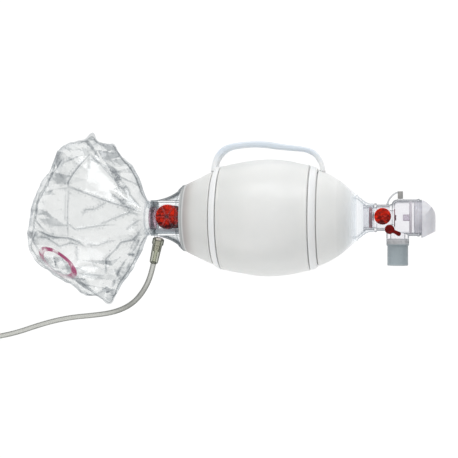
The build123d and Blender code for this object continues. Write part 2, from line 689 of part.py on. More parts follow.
with BuildPart() as oxygen_tube_coil:
    with BuildSketch(Plane.XY):
        with Locations(coil_centre):
            Circle(coil_r[1])
            Circle(coil_r[0], mode=Mode.SUBTRACT)
    extrude(amount=coil_height)
oxygen_tube_coil.part.label = "oxygen_tube_coil"
export_step(oxygen_tube_coil.part, "parts/oxygen_tube_coil.step")

# funnel for the oxygen flowmeter, lying on the coil
supply_from = Vector(-322.0, -135.4, coil_height + 5.3)
supply_dir = Vector(-1.0, 0.0, 0.0)
supply_plane = Plane(origin=supply_from, x_dir=supply_dir, z_dir=(0, 1, 0))
supply_axis = Axis((supply_from.X, supply_from.Y, supply_from.Z), (-1, 0, 0))
with BuildPart() as supply_connector:
    with BuildSketch(supply_plane):
        with BuildLine():
            Polyline((0, 0), (0, 3.9), (14.0, 4.2), (15.0, 5.1), (29.0, 5.1), (30.0, 4.7), (30.0, 3.2), (14.0, 3.2), (14.0, 0), close=True)
        make_face()
    revolve(axis=supply_axis)
supply_connector.part.label = "supply_connector"
export_step(supply_connector.part, "parts/supply_connector.step")

# ---------------------------------------------------------------- how it stands
kept = [compression_bag, strap_ring_rear, strap_ring_front, hand_strap, inlet_housing, bag_inlet_seat, bag_inlet_disc, intake_seat, intake_disc, overflow_seat, overflow_disc, oxygen_duct, reservoir_collar, reservoir_seal, reservoir_bag, front_collar, valve_housing, neck_insert, shutter_membrane, outlet_spider, stop_pin, splash_guard, patient_connector, relief_button, manometer_cap, port_cap, port_tether, oxygen_nipple]
boxes = [piece.part.bounding_box() for piece in kept]
print("object box", [round(min(getattr(b.min, k) for b in boxes), 2) for k in "XYZ"], [round(max(getattr(b.max, k) for b in boxes), 2) for k in "XYZ"])
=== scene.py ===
import math
import random

import bmesh
import bpy
import numpy as np
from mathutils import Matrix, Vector, noise
from mathutils.geometry import delaunay_2d_cdt


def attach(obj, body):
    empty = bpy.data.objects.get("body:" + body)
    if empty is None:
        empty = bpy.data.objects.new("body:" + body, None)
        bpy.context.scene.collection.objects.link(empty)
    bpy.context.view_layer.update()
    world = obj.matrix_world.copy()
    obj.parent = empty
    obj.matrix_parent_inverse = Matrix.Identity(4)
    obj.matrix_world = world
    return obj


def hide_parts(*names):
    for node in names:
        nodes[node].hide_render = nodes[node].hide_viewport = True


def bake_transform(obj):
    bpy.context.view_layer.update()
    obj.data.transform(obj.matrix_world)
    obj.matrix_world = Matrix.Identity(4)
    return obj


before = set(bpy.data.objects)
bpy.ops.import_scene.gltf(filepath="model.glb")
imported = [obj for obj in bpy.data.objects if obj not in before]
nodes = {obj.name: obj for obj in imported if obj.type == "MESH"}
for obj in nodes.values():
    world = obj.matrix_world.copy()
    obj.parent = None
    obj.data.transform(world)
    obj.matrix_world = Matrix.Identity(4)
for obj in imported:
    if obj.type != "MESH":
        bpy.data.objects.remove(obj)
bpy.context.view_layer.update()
random.seed(7)
MM = 0.001
AXIS_Z = 63.5
scene = bpy.context.scene


# ------------------------------------------------------------------ small helpers
def add_object(name, data):
    obj = bpy.data.objects.new(name, data)
    scene.collection.objects.link(obj)
    return obj


def mesh_object(name, verts_mm, faces, smooth=True):
    mesh = bpy.data.meshes.new(name)
    mesh.from_pydata([tuple(c * MM for c in v) for v in verts_mm], [], faces)
    mesh.validate()
    mesh.update()
    if smooth:
        mesh.polygons.foreach_set("use_smooth", [True] * len(mesh.polygons))
    return add_object(name, mesh)


def catmull(points, steps, closed=False):
    """Points on a smooth line through the given ones."""
    pts = [np.array(p, float) for p in points]
    n = len(pts)
    out = []
    last = n if closed else n - 1
    for i in range(last):
        if closed:
            a, b, c, d = pts[(i - 1) % n], pts[i], pts[(i + 1) % n], pts[(i + 2) % n]
        else:
            b, c = pts[i], pts[i + 1]
            a = pts[i - 1] if i > 0 else 2 * b - c
            d = pts[i + 2] if i + 2 < n else 2 * c - b
        for k in range(steps):
            t = k / steps
            out.append(0.5 * (2 * b + (c - a) * t + (2 * a - 5 * b + 4 * c - d) * t * t + (3 * b - a - 3 * c + d) * t ** 3))
    if not closed:
        out.append(pts[-1])
    return out


def resample(points, count, closed=False):
    """The same line, as count points an equal distance apart."""
    pts = [np.array(p, float) for p in points]
    if closed:
        pts = pts + [pts[0]]
    lengths = [0.0]
    for a, b in zip(pts, pts[1:]):
        lengths.append(lengths[-1] + float(np.linalg.norm(b - a)))
    total = lengths[-1]
    out, j = [], 0
    spans = count if closed else count - 1
    for i in range(count):
        want = total * i / spans
        while j < len(pts) - 2 and lengths[j + 1] < want:
            j += 1
        f = (want - lengths[j]) / max(lengths[j + 1] - lengths[j], 1e-9)
        out.append(pts[j] * (1 - f) + pts[j + 1] * f)
    return out


def apply_modifiers(obj):
    deps = bpy.context.evaluated_depsgraph_get()
    mesh = bpy.data.meshes.new_from_object(obj.evaluated_get(deps))
    old = obj.data
    obj.modifiers.clear()
    obj.data = mesh
    bpy.data.meshes.remove(old)
    mesh.polygons.foreach_set("use_smooth", [True] * len(mesh.polygons))


def tube_mesh(name, points_mm, radius, sides=16):
    """A round tube along those points, with its section carried along without twist, and flat closed ends."""
    pts = np.array(points_mm, float)
    tangents = np.gradient(pts, axis=0)
    tangents /= np.linalg.norm(tangents, axis=1, keepdims=True)
    side = np.cross(tangents[0], (0.0, 0.0, 1.0))
    side /= np.linalg.norm(side)
    verts, faces = [], []
    rows = []
    for k, (p, t) in enumerate(zip(pts, tangents)):
        side = side - t * (side @ t)
        side /= np.linalg.norm(side)
        up = np.cross(side, t)
        r = radius(k / (len(pts) - 1)) if callable(radius) else radius
        rows.append(len(verts))
        for j in range(sides):
            a = 2 * math.pi * j / sides
            verts.append(tuple(p + r * (math.cos(a) * side + math.sin(a) * up)))
    for a, b in zip(rows, rows[1:]):
        for j in range(sides):
            faces.append((a + j, a + (j + 1) % sides, b + (j + 1) % sides, b + j))
    faces.append(tuple(rows[0] + j for j in reversed(range(sides))))
    faces.append(tuple(rows[-1] + j for j in range(sides)))
    return mesh_object(name, verts, faces)


def lathe_z(name, centre, outline, sides=96, relief=None, hole=False):
    """A closed shape turned about a vertical axis from (r, z, lifted) points, first and last on the axis, or a closed section round a hole. relief(r, angle) lifts its top."""
    verts, faces, rings = [], [], []
    for r, z, lifted in outline:
        if r < 1e-6:
            rings.append([len(verts)])
            verts.append((centre[0], centre[1], z + (relief(0.0, 0.0) if relief and lifted else 0.0)))
        else:
            ids = []
            for s in range(sides):
                a = 2 * math.pi * s / sides
                ids.append(len(verts))
                verts.append((centre[0] + r * math.cos(a), centre[1] + r * math.sin(a), z + (relief(r, a) if relief and lifted else 0.0)))
            rings.append(ids)
    for a, b in zip(rings, rings[1:] + (rings[:1] if hole else [])):
        for s in range(sides):
            t = (s + 1) % sides
            if len(a) == 1:
                faces.append((a[0], b[s], b[t]))
            elif len(b) == 1:
                faces.append((a[s], b[0], a[t]))
            else:
                faces.append((a[s], b[s], b[t], a[t]))
    obj = mesh_object(name, verts, faces)
    bm = bmesh.new()
    bm.from_mesh(obj.data)
    bmesh.ops.recalc_face_normals(bm, faces=bm.faces)
    bm.to_mesh(obj.data)
    bm.free()
    return obj


def lathe_x(name, outline, sides=120, centre_y=0.0, centre_z=63.5):
    """A closed ring of section outline, (x, r) points, turned about the bag's axis."""
    verts, faces = [], []
    n = len(outline)
    for x, r in outline:
        for s in range(sides):
            a = 2 * math.pi * s / sides
            verts.append((x, centre_y + r * math.cos(a), centre_z + r * math.sin(a)))
    for k in range(n):
        for s in range(sides):
            faces.append((k * sides + s, k * sides + (s + 1) % sides, ((k + 1) % n) * sides + (s + 1) % sides, ((k + 1) % n) * sides + s))
    obj = mesh_object(name, verts, faces)
    bm = bmesh.new()
    bm.from_mesh(obj.data)
    bmesh.ops.recalc_face_normals(bm, faces=bm.faces)
    bm.to_mesh(obj.data)
    bm.free()
    return obj


def smoothstep(a, b, x):
    t = min(max((x - a) / (b - a), 0.0), 1.0)
    return t * t * (3 - 2 * t)


# ------------------------------------------------------------------ camera
cam = add_object("camera", bpy.data.cameras.new("camera"))
cam.location = (0.18037, -0.01205, 1.25032)
cam.rotation_euler = (0.0, math.radians(8.5), 0.0)
cam.data.sensor_width = 36.0
cam.data.lens = 86.14
cam.data.clip_start = 0.05
scene.camera = cam

# ------------------------------------------------------------------ oxygen tube: one NURBS line, down to the table and into its coil
route = [
    (-83.6, -49.5, 53.0),
    (-86.66, -60.04, 49.28),
    (-92.8, -73.4, 42.6),
    (-102.4, -86.3, 33.6),
    (-113.6, -96.4, 24.4),
    (-127.5, -104.2, 14.9),
    (-145.2, -110.0, 7.2),
    (-167.0, -113.2, 3.6),
    (-191.5, -115.6, 3.05),
    (-214.5, -120.2, 3.05),
    (-236.5, -126.6, 3.05),
    (-258.0, -134.0, 3.05),
    (-281.5, -139.6, 3.05),
    (-302.0, -141.8, 3.05),
    (-319.0, -142.2, 3.05),
]
COIL = (-334.0, -100.0)
PER_TURN = 14
END_TURN = 6.948


def coil_point(t):
    """The coil's line after t turns: in along the table, out over that, in again on top, and up to the funnel."""
    angle = math.radians(-90.0) - 2 * math.pi * t
    if t < 2.0:
        r, z = 42.2 - 6.1 * t, 3.05
    elif t < 2.5:
        r, z = 30.0, 3.05 + 6.1 * smoothstep(2.0, 2.42, t)
    elif t < 4.5:
        r, z = 30.0 + 6.1 * (t - 2.5), 9.15
    elif t < 4.95:
        r, z = 42.2, 9.15 + 6.1 * smoothstep(4.5, 4.92, t)
    else:
        r, z = 42.2 - 6.1 * (t - 4.95), 15.25
    if t > 6.3:
        f = smoothstep(6.3, END_TURN - 0.1, t)
        z = 15.25 + (23.5 - 15.25) * f
        r = r + (37.36 - r) * smoothstep(6.3, END_TURN, t)
    return (COIL[0] + r * math.cos(angle), COIL[1] + r * math.sin(angle), z)


count = int(round(END_TURN * PER_TURN))
coil = [coil_point(END_TURN * k / count) for k in range(1, count)]
line = route + coil + [(-316.0, -135.4, 23.5), (-322.0, -135.4, 23.5)]
curve = bpy.data.curves.new("oxygen_line", "CURVE")
curve.dimensions = "3D"
spline = curve.splines.new("NURBS")
spline.points.add(len(line) - 1)
for point, at in zip(spline.points, line):
    point.co = (at[0] * MM, at[1] * MM, at[2] * MM, 1.0)
spline.order_u = 3
spline.use_endpoint_u = True
curve.resolution_u = 8
guide = add_object("oxygen_guide", curve)
bpy.context.view_layer.update()
guide_mesh = bpy.data.meshes.new_from_object(guide.evaluated_get(bpy.context.evaluated_depsgraph_get()))
centreline = [tuple(c / MM for c in v.co) for v in guide_mesh.vertices]
bpy.data.objects.remove(guide)
bpy.data.curves.remove(curve)
bpy.data.meshes.remove(guide_mesh)
oxygen_line = tube_mesh("oxygen_line", centreline, 3.0, sides=18)
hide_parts("oxygen_tube", "oxygen_tube_coil")
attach(oxygen_line, "bag")

# a paper-covered wire tie round the coil
tie_at = math.radians(118.0)
tie_dir = Vector((math.cos(tie_at), math.sin(tie_at), 0))
tie_side = Vector((-math.sin(tie_at), math.cos(tie_at), 0))
tie_loop = resample(catmull([(26.2, 3.0), (27.2, 0.6), (30.0, 0.15), (36.0, 0.12), (42.5, 0.15), (45.3, 0.8), (46.0, 4.0), (46.0, 11.0), (45.2, 16.6), (42.6, 18.7), (36.2, 18.9), (29.8, 18.7), (27.0, 16.8), (26.2, 12.0)], 6, closed=True), 72, closed=True)
verts, faces = [], []
n_tie = len(tie_loop)
for k, (r, z) in enumerate(tie_loop):
    before, after = tie_loop[k - 1], tie_loop[(k + 1) % n_tie]
    tangent = Vector((after[0] - before[0], after[1] - before[1])).normalized()
    out = Vector((tangent[1], -tangent[0]))
    for w, d in ((-2.1, 0.0), (-1.9, 0.28), (-0.7, 0.3), (0.0, 0.62), (0.7, 0.3), (1.9, 0.28), (2.1, 0.0), (1.9, -0.05), (-1.9, -0.05)):
        rr, zz = r + out[0] * d, max(z + out[1] * d, 0.02)
        p = Vector((COIL[0], COIL[1], 0)) + tie_dir * rr + tie_side * w
        verts.append((p.x, p.y, zz))
m = 9
for k in range(n_tie):
    for j in range(m):
        faces.append((k * m + j, k * m + (j + 1) % m, ((k + 1) % n_tie) * m + (j + 1) % m, ((k + 1) % n_tie) * m + j))
# its two ends, twisted together and lying on the coil
base = len(verts)
n_twist = 40
for k in range(n_twist + 1):
    s = k / n_twist
    centre = Vector((COIL[0], COIL[1], 0)) + tie_dir * (38.0 - 9.0 * s) + tie_side * (2.0 + 7.0 * s)
    turn = 6 * math.pi * s
    half = 2.0 * (0.75 + 0.25 * s)
    for j in range(8):
        a = math.pi * j / 4
        w, h = half * math.cos(a), 0.42 * math.sin(a)
        sideways = w * math.cos(turn) - h * math.sin(turn)
        up = w * math.sin(turn) + h * math.cos(turn)
        p = centre + (tie_dir * 0.61 + tie_side * 0.79) * sideways
        verts.append((p.x, p.y, 21.4 + up))
for k in range(n_twist):
    for j in range(8):
        faces.append((base + k * 8 + j, base + k * 8 + (j + 1) % 8, base + (k + 1) * 8 + (j + 1) % 8, base + (k + 1) * 8 + j))
faces.append(tuple(base + j for j in reversed(range(8))))
faces.append(tuple(base + n_twist * 8 + j for j in range(8)))
coil_tie = mesh_object("coil_tie", verts, faces)
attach(coil_tie, "bag")


# ------------------------------------------------------------------ materials
def mat(name):
    material = bpy.data.materials.new(name)
    material.use_nodes = True
    tree = material.node_tree
    tree.nodes.clear()
    out = tree.nodes.new("ShaderNodeOutputMaterial")
    return material, tree, out


def node(tree, kind, attrs=None, **inputs):
    n = tree.nodes.new(kind)
    for key, value in (attrs or {}).items():
        setattr(n, key, value)
    for key, value in inputs.items():
        key = key.replace("_", " ")
        if hasattr(value, "is_linked") or isinstance(value, bpy.types.NodeSocket):
            tree.links.new(value, n.inputs[key])
        else:
            n.inputs[key].default_value = value
    return n


def coords(tree):
    return node(tree, "ShaderNodeTexCoord").outputs["Object"]


def noise_tex(tree, scale, detail=3.0, rough=0.5, distortion=0.0, vector=None):
    return node(tree, "ShaderNodeTexNoise", Vector=vector or coords(tree), Scale=scale, Detail=detail, Roughness=rough, Distortion=distortion).outputs["Fac"]


def ramp(tree, fac, stops):
    n = tree.nodes.new("ShaderNodeValToRGB")
    tree.links.new(fac, n.inputs["Fac"])
    while len(n.color_ramp.elements) < len(stops):
        n.color_ramp.elements.new(0.5)
    for element, (at, colour) in zip(n.color_ramp.elements, stops):
        element.position = at
        element.color = (*colour, 1.0) if len(colour) == 3 else colour
    return n.outputs["Color"]


def map_range(tree, value, a, b, c, d):
    n = node(tree, "ShaderNodeMapRange", Value=value)
    for key, v in (("From Min", a), ("From Max", b), ("To Min", c), ("To Max", d)):
        n.inputs[key].default_value = v
    return n.outputs["Result"]


def math_node(tree, op, a, b=0.0, clamp=False):
    n = tree.nodes.new("ShaderNodeMath")
    n.operation = op
    n.use_clamp = clamp
    for k, v in enumerate((a, b)):
        if isinstance(v, bpy.types.NodeSocket):
            tree.links.new(v, n.inputs[k])
        else:
            n.inputs[k].default_value = v
    return n.outputs[0]


def bump(tree, height, strength, distance, normal=None):
    n = node(tree, "ShaderNodeBump", Height=height, Strength=strength, Distance=distance)
    if normal is not None:
        tree.links.new(normal, n.inputs["Normal"])
    return n.outputs["Normal"]


def principled(tree, **inputs):
    return node(tree, "ShaderNodeBsdfPrincipled", **inputs)


def solid_plastic(name, light, dark, rough=0.35, grain=900.0, blotch=60.0, grain_depth=0.00006, sss=0.0, sss_scale=0.002, spec=0.5, coat=0.0, transmission=0.0):
    """A moulded opaque or milky plastic: slightly uneven colour, fine surface grain, small variations in gloss."""
    material, tree, out = mat(name)
    p = coords(tree)
    uneven = noise_tex(tree, blotch, 4.0, 0.55, vector=p)
    colour = ramp(tree, uneven, ((0.30, dark), (0.72, light)))
    gloss = map_range(tree, noise_tex(tree, blotch * 2.5, 3.0, vector=p), 0.3, 0.7, rough * 0.85, rough * 1.18)
    fine = noise_tex(tree, grain, 2.0, vector=p)
    wave = noise_tex(tree, blotch * 1.4, 2.0, vector=p)
    n1 = bump(tree, fine, 0.35, grain_depth)
    n2 = bump(tree, wave, 0.25, 0.0006, n1)
    shader = principled(tree, Base_Color=colour, Roughness=gloss, Normal=n2, Specular_IOR_Level=spec)
    if sss:
        shader.inputs["Subsurface Weight"].default_value = sss
        shader.inputs["Subsurface Radius"].default_value = (1.0, 0.9, 0.85)
        shader.inputs["Subsurface Scale"].default_value = sss_scale
    if coat:
        shader.inputs["Coat Weight"].default_value = coat
        shader.inputs["Coat Roughness"].default_value = 0.12
    if transmission:
        shader.inputs["Transmission Weight"].default_value = transmission
    tree.links.new(shader.outputs[0], out.inputs["Surface"])
    return material


def clear_plastic(name, colour, shadow, rough=0.03, ior=1.45, wave=55.0, wave_depth=0.0004, grain=0.0):
    """Clear moulded plastic: refracts, lets lamps through, and has the slow waviness of a moulded wall."""
    material, tree, out = mat(name)
    p = coords(tree)
    n1 = bump(tree, noise_tex(tree, wave, 2.0, vector=p), 0.3, wave_depth)
    if grain:
        n1 = bump(tree, noise_tex(tree, 700.0, 2.0, vector=p), 0.3, grain, n1)
    gloss = map_range(tree, noise_tex(tree, 90.0, 3.0, vector=p), 0.3, 0.75, rough, rough * 2.2 + 0.01)
    tint = ramp(tree, noise_tex(tree, 35.0, 3.0, vector=p), ((0.3, tuple(0.96 * c for c in colour)), (0.7, colour)))
    glass = principled(tree, Base_Color=tint, Roughness=gloss, Normal=n1, IOR=ior)
    glass.inputs["Transmission Weight"].default_value = 1.0
    clear = node(tree, "ShaderNodeBsdfTransparent", Color=(*shadow, 1.0))
    path = node(tree, "ShaderNodeLightPath")
    mix = tree.nodes.new("ShaderNodeMixShader")
    tree.links.new(path.outputs["Is Shadow Ray"], mix.inputs[0])
    tree.links.new(glass.outputs[0], mix.inputs[1])
    tree.links.new(clear.outputs[0], mix.inputs[2])
    tree.links.new(mix.outputs[0], out.inputs["Surface"])
    return material


def thin_clear(name, middle, rim, power, body, body_colour, rough=0.08, grain=0.00004, grain_scale=900.0, wave_depth=0.0004, wave=60.0, gloss=0.9, coat=0.0):
    """Clear or hazy soft plastic with thin walls: seen through at its middle, darker where its wall turns away, and
    glossy. The darkening where the wall turns away is painted shade standing in for the dark rims that refraction
    gives.
    """
    material, tree, out = mat(name)
    p = coords(tree)
    n1 = bump(tree, noise_tex(tree, wave, 2.0, vector=p), 0.3, wave_depth)
    n2 = bump(tree, noise_tex(tree, grain_scale, 2.0, vector=p), 0.3, grain, n1)
    facing = node(tree, "ShaderNodeLayerWeight", Blend=0.5, Normal=n1).outputs["Facing"]
    cloud = noise_tex(tree, 70.0, 3.0, vector=p)
    if isinstance(power, tuple):
        painted_edge_shade = map_range(tree, facing, power[0], power[1], 0.0, 1.0)
        painted_edge_shade = math_node(tree, "MULTIPLY", painted_edge_shade, map_range(tree, cloud, 0.35, 0.65, 0.72, 1.0), True)
        gloss = gloss * 0.42
    else:
        painted_edge_shade = math_node(tree, "POWER", facing, power)
        painted_edge_shade = math_node(tree, "ADD", painted_edge_shade, map_range(tree, cloud, 0.3, 0.7, -0.05, 0.07), True)
    # painted shade: the see-through tint and the body colour move towards the rim colour where the wall turns away
    tint = ramp(tree, painted_edge_shade, ((0.0, middle), (1.0, rim)))
    clear = node(tree, "ShaderNodeBsdfTransparent", Color=tint)
    tone = ramp(tree, painted_edge_shade, ((0.0, body_colour), (1.0, tuple(0.5 * a + 0.5 * b for a, b in zip(body_colour, rim)))))
    solid = principled(tree, Base_Color=tone, Roughness=map_range(tree, cloud, 0.3, 0.7, rough * 0.8, rough * 1.3), Normal=n2)
    share = math_node(tree, "MULTIPLY", math_node(tree, "POWER", facing, 4.0), gloss * (1 - body))
    share = math_node(tree, "ADD", share, body, True)
    mix = tree.nodes.new("ShaderNodeMixShader")
    tree.links.new(share, mix.inputs[0])
    tree.links.new(clear.outputs[0], mix.inputs[1])
    tree.links.new(solid.outputs[0], mix.inputs[2])
    tree.links.new(mix.outputs[0], out.inputs["Surface"])
    return material


def srgb(r, g, b):
    return tuple(((c / 255) / 12.92) if c <= 10 else (((c / 255) + 0.055) / 1.055) ** 2.4 for c in (r, g, b))




def moulded_silicone(name, light, dark, ends=True):
    """Milky silicone: satin over the barrel, thinner and clearer towards its two necks. Its colour darkens towards the
    rear mouth, with painted shade in stripes and a grey band there, and its inside wall has a painted glow.
    """
    material, tree, out = mat(name)
    p = coords(tree)
    uneven = noise_tex(tree, 18.0, 4.0, 0.55, vector=p)
    colour = ramp(tree, uneven, ((0.30, dark), (0.70, light)))
    gloss = map_range(tree, noise_tex(tree, 45.0, 3.0, vector=p), 0.3, 0.7, 0.30, 0.42)
    n1 = bump(tree, noise_tex(tree, 1400.0, 2.0, vector=p), 0.3, 0.00003)
    n2 = bump(tree, noise_tex(tree, 24.0, 2.0, vector=p), 0.2, 0.0008, n1)
    x = node(tree, "ShaderNodeSeparateXYZ", Vector=p).outputs["X"]
    # painted shade: dark stripes and a grey-purple band at the rear mouth, where the inlet housing's rim and the parts
    # inside show through the wall; the colour also darkens towards the rear end
    band = ramp(tree, map_range(tree, x, -0.0470, 0.0530, 0.0, 1.0), ((0.0, (0.42, 0.42, 0.43)), (0.0132, (0.88, 0.88, 0.88)), (0.0286, (0.44, 0.46, 0.47)), (0.0418, (0.92, 0.92, 0.92)), (0.0594, (0.56, 0.52, 0.52)), (0.0850, (0.64, 0.60, 0.59)), (0.140, (0.79, 0.78, 0.77)), (0.22, (0.865, 0.865, 0.860)), (0.62, (0.925, 0.925, 0.920)), (1.0, (0.985, 0.985, 0.985))))
    painted_shade_colour = node(tree, "ShaderNodeMix", {"data_type": "RGBA", "blend_type": "MULTIPLY"}, Factor=1.0)
    tree.links.new(colour, painted_shade_colour.inputs[6])
    tree.links.new(band, painted_shade_colour.inputs[7])
    shader = principled(tree, Base_Color=painted_shade_colour.outputs[2], Roughness=gloss, Normal=n2)
    shader.inputs["Specular IOR Level"].default_value = 0.5
    shader.inputs["Subsurface Weight"].default_value = 0.35
    shader.inputs["Subsurface Radius"].default_value = (1.0, 0.95, 0.9)
    shader.inputs["Subsurface Scale"].default_value = 0.006
    front = map_range(tree, x, 0.121, 0.140, 0.0, 0.94)
    rear = map_range(tree, x, -0.030, -0.047, 0.0, 0.34)
    thin = math_node(tree, "ADD", front, rear, True)
    clear = node(tree, "ShaderNodeBsdfTransparent", Color=(0.965, 0.975, 0.985, 1.0))
    through = node(tree, "ShaderNodeBsdfTranslucent", Color=(0.95, 0.955, 0.96, 1.0))
    # painted light: the inside wall glows, standing in for light coming through the silicone from outside
    n = node(tree, "ShaderNodeTexCoord").outputs["Normal"]
    away = node(tree, "ShaderNodeVectorMath", {"operation": "SUBTRACT"})
    tree.links.new(p, away.inputs[0])
    away.inputs[1].default_value = (0.0, 0.0, 0.0635)
    radial = node(tree, "ShaderNodeVectorMath", {"operation": "MULTIPLY"})
    tree.links.new(away.outputs["Vector"], radial.inputs[0])
    radial.inputs[1].default_value = (0.0, 1.0, 1.0)
    dot = node(tree, "ShaderNodeVectorMath", {"operation": "DOT_PRODUCT"})
    tree.links.new(n, dot.inputs[0])
    tree.links.new(radial.outputs["Vector"], dot.inputs[1])
    inner = math_node(tree, "LESS_THAN", dot.outputs["Value"], 0.0)
    glow = node(tree, "ShaderNodeEmission", Color=(0.90, 0.92, 0.93, 1.0), Strength=map_range(tree, x, 0.095, 0.134, 0.50, 0.86))
    outer_wall = shader
    shader = tree.nodes.new("ShaderNodeMixShader")
    tree.links.new(math_node(tree, "MULTIPLY", inner, 0.8), shader.inputs[0])
    tree.links.new(outer_wall.outputs[0], shader.inputs[1])
    tree.links.new(glow.outputs[0], shader.inputs[2])
    body = tree.nodes.new("ShaderNodeMixShader")
    tree.links.new(map_range(tree, x, -0.030, 0.125, 0.06, 0.10), body.inputs[0])
    tree.links.new(shader.outputs[0], body.inputs[1])
    tree.links.new(through.outputs[0], body.inputs[2])
    mix = tree.nodes.new("ShaderNodeMixShader")
    tree.links.new(thin, mix.inputs[0])
    tree.links.new(body.outputs[0], mix.inputs[1])
    tree.links.new(clear.outputs[0], mix.inputs[2])
    tree.links.new(mix.outputs[0], out.inputs["Surface"])
    return material


m_bag = moulded_silicone("milky_silicone", srgb(240, 240, 238), srgb(231, 232, 230))


def strap_silicone(name, band, ring):
    """The same silicone in the rings, bluer where the band stands clear of the bag."""
    material, tree, out = mat(name)
    p = coords(tree)
    y = node(tree, "ShaderNodeSeparateXYZ", Vector=p).outputs["Y"]
    cloud = noise_tex(tree, 40.0, 4.0, vector=p)
    high = math_node(tree, "ADD", map_range(tree, y, 0.058, 0.074, 0.0, 1.0), map_range(tree, cloud, 0.3, 0.7, -0.10, 0.10), True)
    colour = ramp(tree, high, ((0.0, ring), (1.0, band)))
    gloss = map_range(tree, noise_tex(tree, 90.0, 3.0, vector=p), 0.3, 0.7, 0.28, 0.42)
    n1 = bump(tree, noise_tex(tree, 1200.0, 2.0, vector=p), 0.3, 0.00003)
    n2 = bump(tree, noise_tex(tree, 50.0, 2.0, vector=p), 0.2, 0.0004, n1)
    shader = principled(tree, Base_Color=colour, Roughness=gloss, Normal=n2)
    shader.inputs["Subsurface Weight"].default_value = 0.3
    shader.inputs["Subsurface Radius"].default_value = (0.9, 0.95, 1.0)
    shader.inputs["Subsurface Scale"].default_value = 0.004
    tree.links.new(shader.outputs[0], out.inputs["Surface"])
    return material


m_strap = strap_silicone("strap_silicone", srgb(216, 224, 232), srgb(238, 239, 239))
m_clear = thin_clear("clear_polycarbonate", (0.985, 0.99, 0.992), (0.015, 0.05, 0.07), (0.50, 0.90), 0.004, (0.80, 0.84, 0.87), rough=0.05, grain=0.00001, wave_depth=0.0003)
m_clear_valve = thin_clear("clear_valve_body", (0.972, 0.970, 0.978), (0.16, 0.19, 0.22), (0.44, 0.90), 0.05, (0.84, 0.83, 0.88), rough=0.05, grain=0.00001, wave_depth=0.0003)
m_clear_thin = thin_clear("clear_insert", (0.985, 0.965, 0.975), (0.88, 0.80, 0.84), (0.5, 0.95), 0.02, (0.86, 0.80, 0.84), rough=0.08, grain=0.00001)
m_collar = thin_clear("clear_collar", (0.975, 0.98, 0.988), (0.42, 0.48, 0.53), (0.56, 0.96), 0.08, (0.86, 0.90, 0.94), rough=0.14, grain=0.00002)
def fade_in(material, start, end):
    """Nothing of the piece shows inside the bag's mouth; it comes up over a few millimetres along X."""
    tree = material.node_tree
    out = next(n for n in tree.nodes if n.type == "OUTPUT_MATERIAL")
    shown = out.inputs["Surface"].links[0].from_socket
    x = node(tree, "ShaderNodeSeparateXYZ", Vector=coords(tree)).outputs["X"]
    mix = tree.nodes.new("ShaderNodeMixShader")
    tree.links.new(map_range(tree, x, start, end, 0.12, 1.0), mix.inputs[0])
    tree.links.new(node(tree, "ShaderNodeBsdfTransparent", Color=(1.0, 1.0, 1.0, 1.0)).outputs[0], mix.inputs[1])
    tree.links.new(shown, mix.inputs[2])
    tree.links.new(mix.outputs[0], out.inputs["Surface"])


fade_in(m_collar, 0.1360, 0.1500)
m_neck = thin_clear("clear_neck", (0.985, 0.987, 0.99), (0.50, 0.55, 0.58), (0.5, 0.95), 0.02, (0.86, 0.88, 0.90), rough=0.08, grain=0.00001)
m_blush = thin_clear("blush_flap", (0.93, 0.80, 0.82), (0.72, 0.52, 0.56), 2.0, 0.25, (0.78, 0.52, 0.54), rough=0.25)
m_pin = thin_clear("clear_pin", (0.86, 0.83, 0.88), (0.55, 0.48, 0.56), 1.6, 0.30, (0.72, 0.66, 0.72), rough=0.25)
m_pale = thin_clear("pale_insert", (0.90, 0.87, 0.91), (0.62, 0.58, 0.64), (0.4, 0.95), 0.72, (0.72, 0.69, 0.73), rough=0.22)
m_rod = thin_clear("clear_duct", (0.92, 0.94, 0.95), (0.30, 0.38, 0.42), (0.4, 0.92), 0.55, (0.66, 0.71, 0.75), rough=0.10)
m_smoke = thin_clear("smoky_seal", (0.80, 0.69, 0.74), (0.42, 0.30, 0.36), 1.4, 0.34, (0.58, 0.42, 0.50), rough=0.2)


def red_moulding(name, bright_and_highlight, deep, centre, radius, rough=0.24):
    """Glossy red: patchy, deeper in some patches and brighter in others, the brightest partly painted highlights; it
    has painted light and shade across the disc, brighter on its +Y side and deeper on its -Y side.
    """
    material, tree, out = mat(name)
    p = coords(tree)
    patch = noise_tex(tree, 430.0, 3.0, 0.6, 0.9, vector=p)
    slow = noise_tex(tree, 150.0, 2.0, vector=p)
    side = node(tree, "ShaderNodeSeparateXYZ", Vector=p)
    # painted light and shade: the disc is brighter towards +Y, where the key light comes from, and deeper towards -Y
    along = map_range(tree, side.outputs["Y"], centre[1] - radius, centre[1] + radius, 0.10, -0.08)
    depth = math_node(tree, "ADD", math_node(tree, "MULTIPLY", math_node(tree, "ADD", patch, slow), 0.5), along, True)
    # the brightest colour stands partly for painted highlights in the patches
    colour = ramp(tree, depth, ((0.36, bright_and_highlight), (0.49, tuple(0.42 * a + 0.58 * b for a, b in zip(bright_and_highlight, deep))), (0.62, deep)))
    gloss = map_range(tree, patch, 0.3, 0.7, rough * 0.8, rough * 1.5)
    n1 = bump(tree, noise_tex(tree, 420.0, 2.0, vector=p), 0.5, 0.00012)
    n2 = bump(tree, patch, 0.5, 0.0005, n1)
    shader = principled(tree, Base_Color=colour, Roughness=gloss, Normal=n2)
    shader.inputs["Specular IOR Level"].default_value = 0.16
    tree.links.new(shader.outputs[0], out.inputs["Surface"])
    return material


